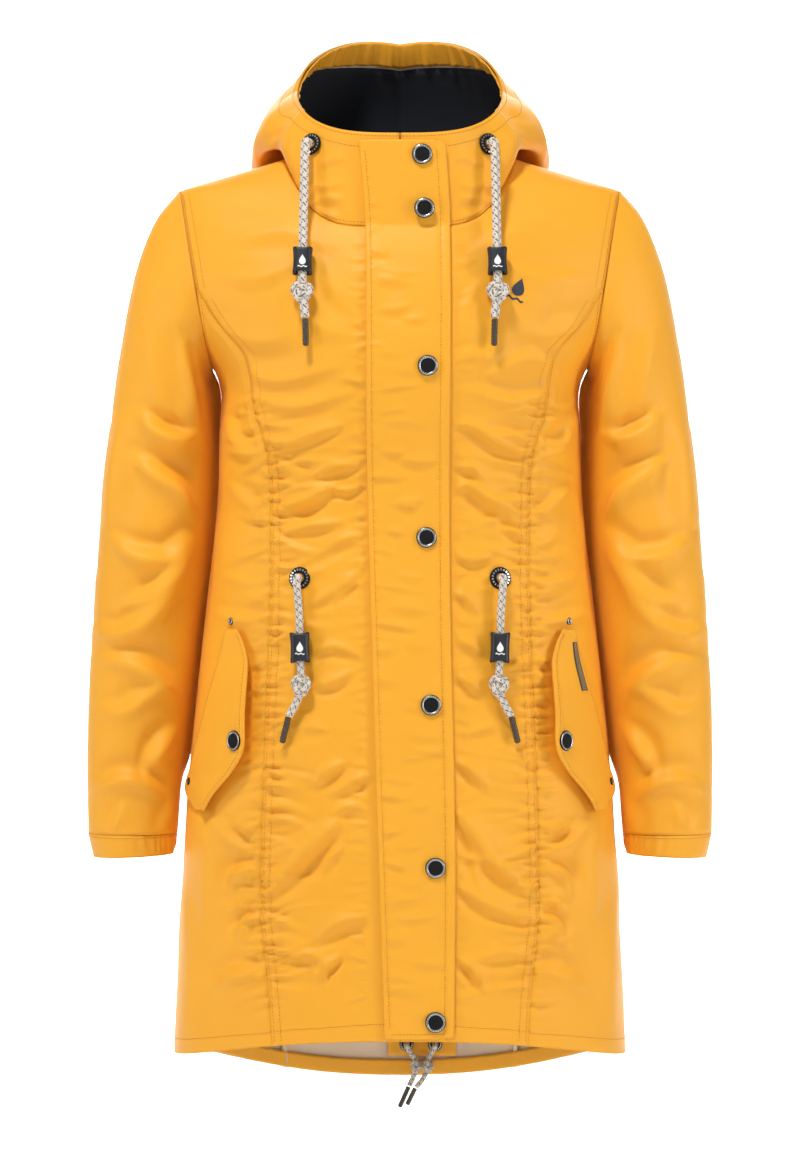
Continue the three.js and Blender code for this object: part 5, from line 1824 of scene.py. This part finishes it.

# Stitches: polyester thread in the cloth's yellow, darkened to paint the shade of the needle-hole puckers, one small
# bar for each, along every seam line above.
# They are joined into one mesh from arrays.
def stitch_mesh(name, lines, pitch=3.3, length=2.5, width=0.6):
    """Small rounded bars along lines of points and normals."""
    shape = np.array(
        [(-0.5, 0, 0), (-0.25, -0.5, 0.1), (-0.25, 0, 0.8), (-0.25, 0.5, 0.1)]
        + [(0.25, -0.5, 0.1), (0.25, 0, 0.8), (0.25, 0.5, 0.1), (0.5, 0, 0)]
    )
    sides = [(0, 1, 2), (0, 2, 3), (0, 3, 1), (7, 5, 4), (7, 6, 5), (7, 4, 6)]
    sides += [(1, 4, 5, 2), (2, 5, 6, 3), (3, 6, 4, 1)]
    blocks, quads = [], []
    offset = 0
    for line, normals in lines:
        run = run_of(line)
        at = np.arange(pitch / 2, run[-1], pitch)
        spots = read_along(line, run, at)
        ahead = read_along(line, run, at + 0.8) - spots
        ahead /= np.maximum(np.linalg.norm(ahead, axis=1), 1e-6)[:, None]
        up = read_along(normals, run, at)
        up /= np.linalg.norm(up, axis=1)[:, None]
        beside = np.cross(up, ahead)
        bar = [spots + along * length * ahead + aside * width * beside + high * 0.5 * up for along, aside, high in shape]
        blocks.append(np.stack(bar, axis=1).reshape(-1, 3))
        for side in sides:
            for k in range(len(spots)):
                quads.append(tuple(offset + 8 * k + corner for corner in side))
        offset += 8 * len(spots)
    return make_mesh(name, np.concatenate(blocks), quads)


# The thread is darker than the cloth: painted shade of the needle-hole puckers along the stitch lines.
thread = plain_material("thread_darkened_for_pucker_shade", (0.60, 0.21, 0.012), 0.8)
stitches = stitch_mesh("stitching", stitch_lines)
take_place(stitches, [thread])

# Stage: a plain pale sweep of floor and wall, well clear of the coat, which hangs as if worn.
# It curves up behind, so no corner shows.
sweep_points, sweep_faces = [], []
FLOOR_Z, WALL_Y, CURVE, REACH = -1500, 10000, 900, 9000
bend_y, bend_z = WALL_Y - CURVE, FLOOR_Z + CURVE
profile = [(-REACH, FLOOR_Z), (bend_y, FLOOR_Z)]
profile += [(bend_y + CURVE * math.sin(a), bend_z - CURVE * math.cos(a)) for a in np.linspace(0.1, math.pi / 2, 16)]
profile += [(WALL_Y, 5000)]
for y, z in profile:
    sweep_points += [(-REACH, y, z), (REACH, y, z)]
for k in range(len(profile) - 1):
    sweep_faces.append((2 * k, 2 * k + 1, 2 * k + 3, 2 * k + 2))
sweep = make_mesh("pale_sweep", sweep_points, sweep_faces)
paper = plain_material("pale_paper", (0.93, 0.93, 0.93), 0.9)
sweep.data.materials.append(paper)

# Light: a large soft key from above the camera, broad fills at both sides and a pale surround.
# The upper half is a little brighter than the hem, and the folds keep soft shadows.
def soft_light(name, place, aim, size, power):
    data = bpy.data.lights.new(name, "AREA")
    data.shape = "RECTANGLE"
    data.size, data.size_y = size
    data.energy = power
    lamp = bpy.data.objects.new(name, data)
    lamp.location = place
    lamp.rotation_euler = (Vector(aim) - Vector(place)).to_track_quat("-Z", "Y").to_euler()
    bpy.context.scene.collection.objects.link(lamp)


soft_light("key", (-0.7, -1.6, 2.5), (0, 0, -0.4), (0.5, 0.42), 74)
soft_light("front_fill", (0.5, -3.6, -0.2), (0, 0, -0.5), (1.4, 1.4), 9.5)
soft_light("side_left", (-2.2, -1.2, 0.0), (0, 0, -0.4), (0.5, 1.2), 13)
soft_light("side_right", (2.2, -1.2, 0.0), (0, 0, -0.4), (0.5, 1.2), 22)
soft_light("back_wash", (0, 7.2, 4.2), (0, 9.6, -1.0), (9, 1.5), 1500)
soft_light("floor_wash", (0, 6.5, 3.6), (0, 7.2, -1.5), (7, 1.5), 350)
soft_light("back_fill", (1.2, 2.4, 1.2), (0, 0, -0.4), (1.2, 1.2), 6)
world = bpy.data.worlds.new("pale_surround")
world.use_nodes = True
world.node_tree.nodes["Background"].inputs["Color"].default_value = (1, 0.985, 0.96, 1)
world.node_tree.nodes["Background"].inputs["Strength"].default_value = 0.22
bpy.context.scene.world = world
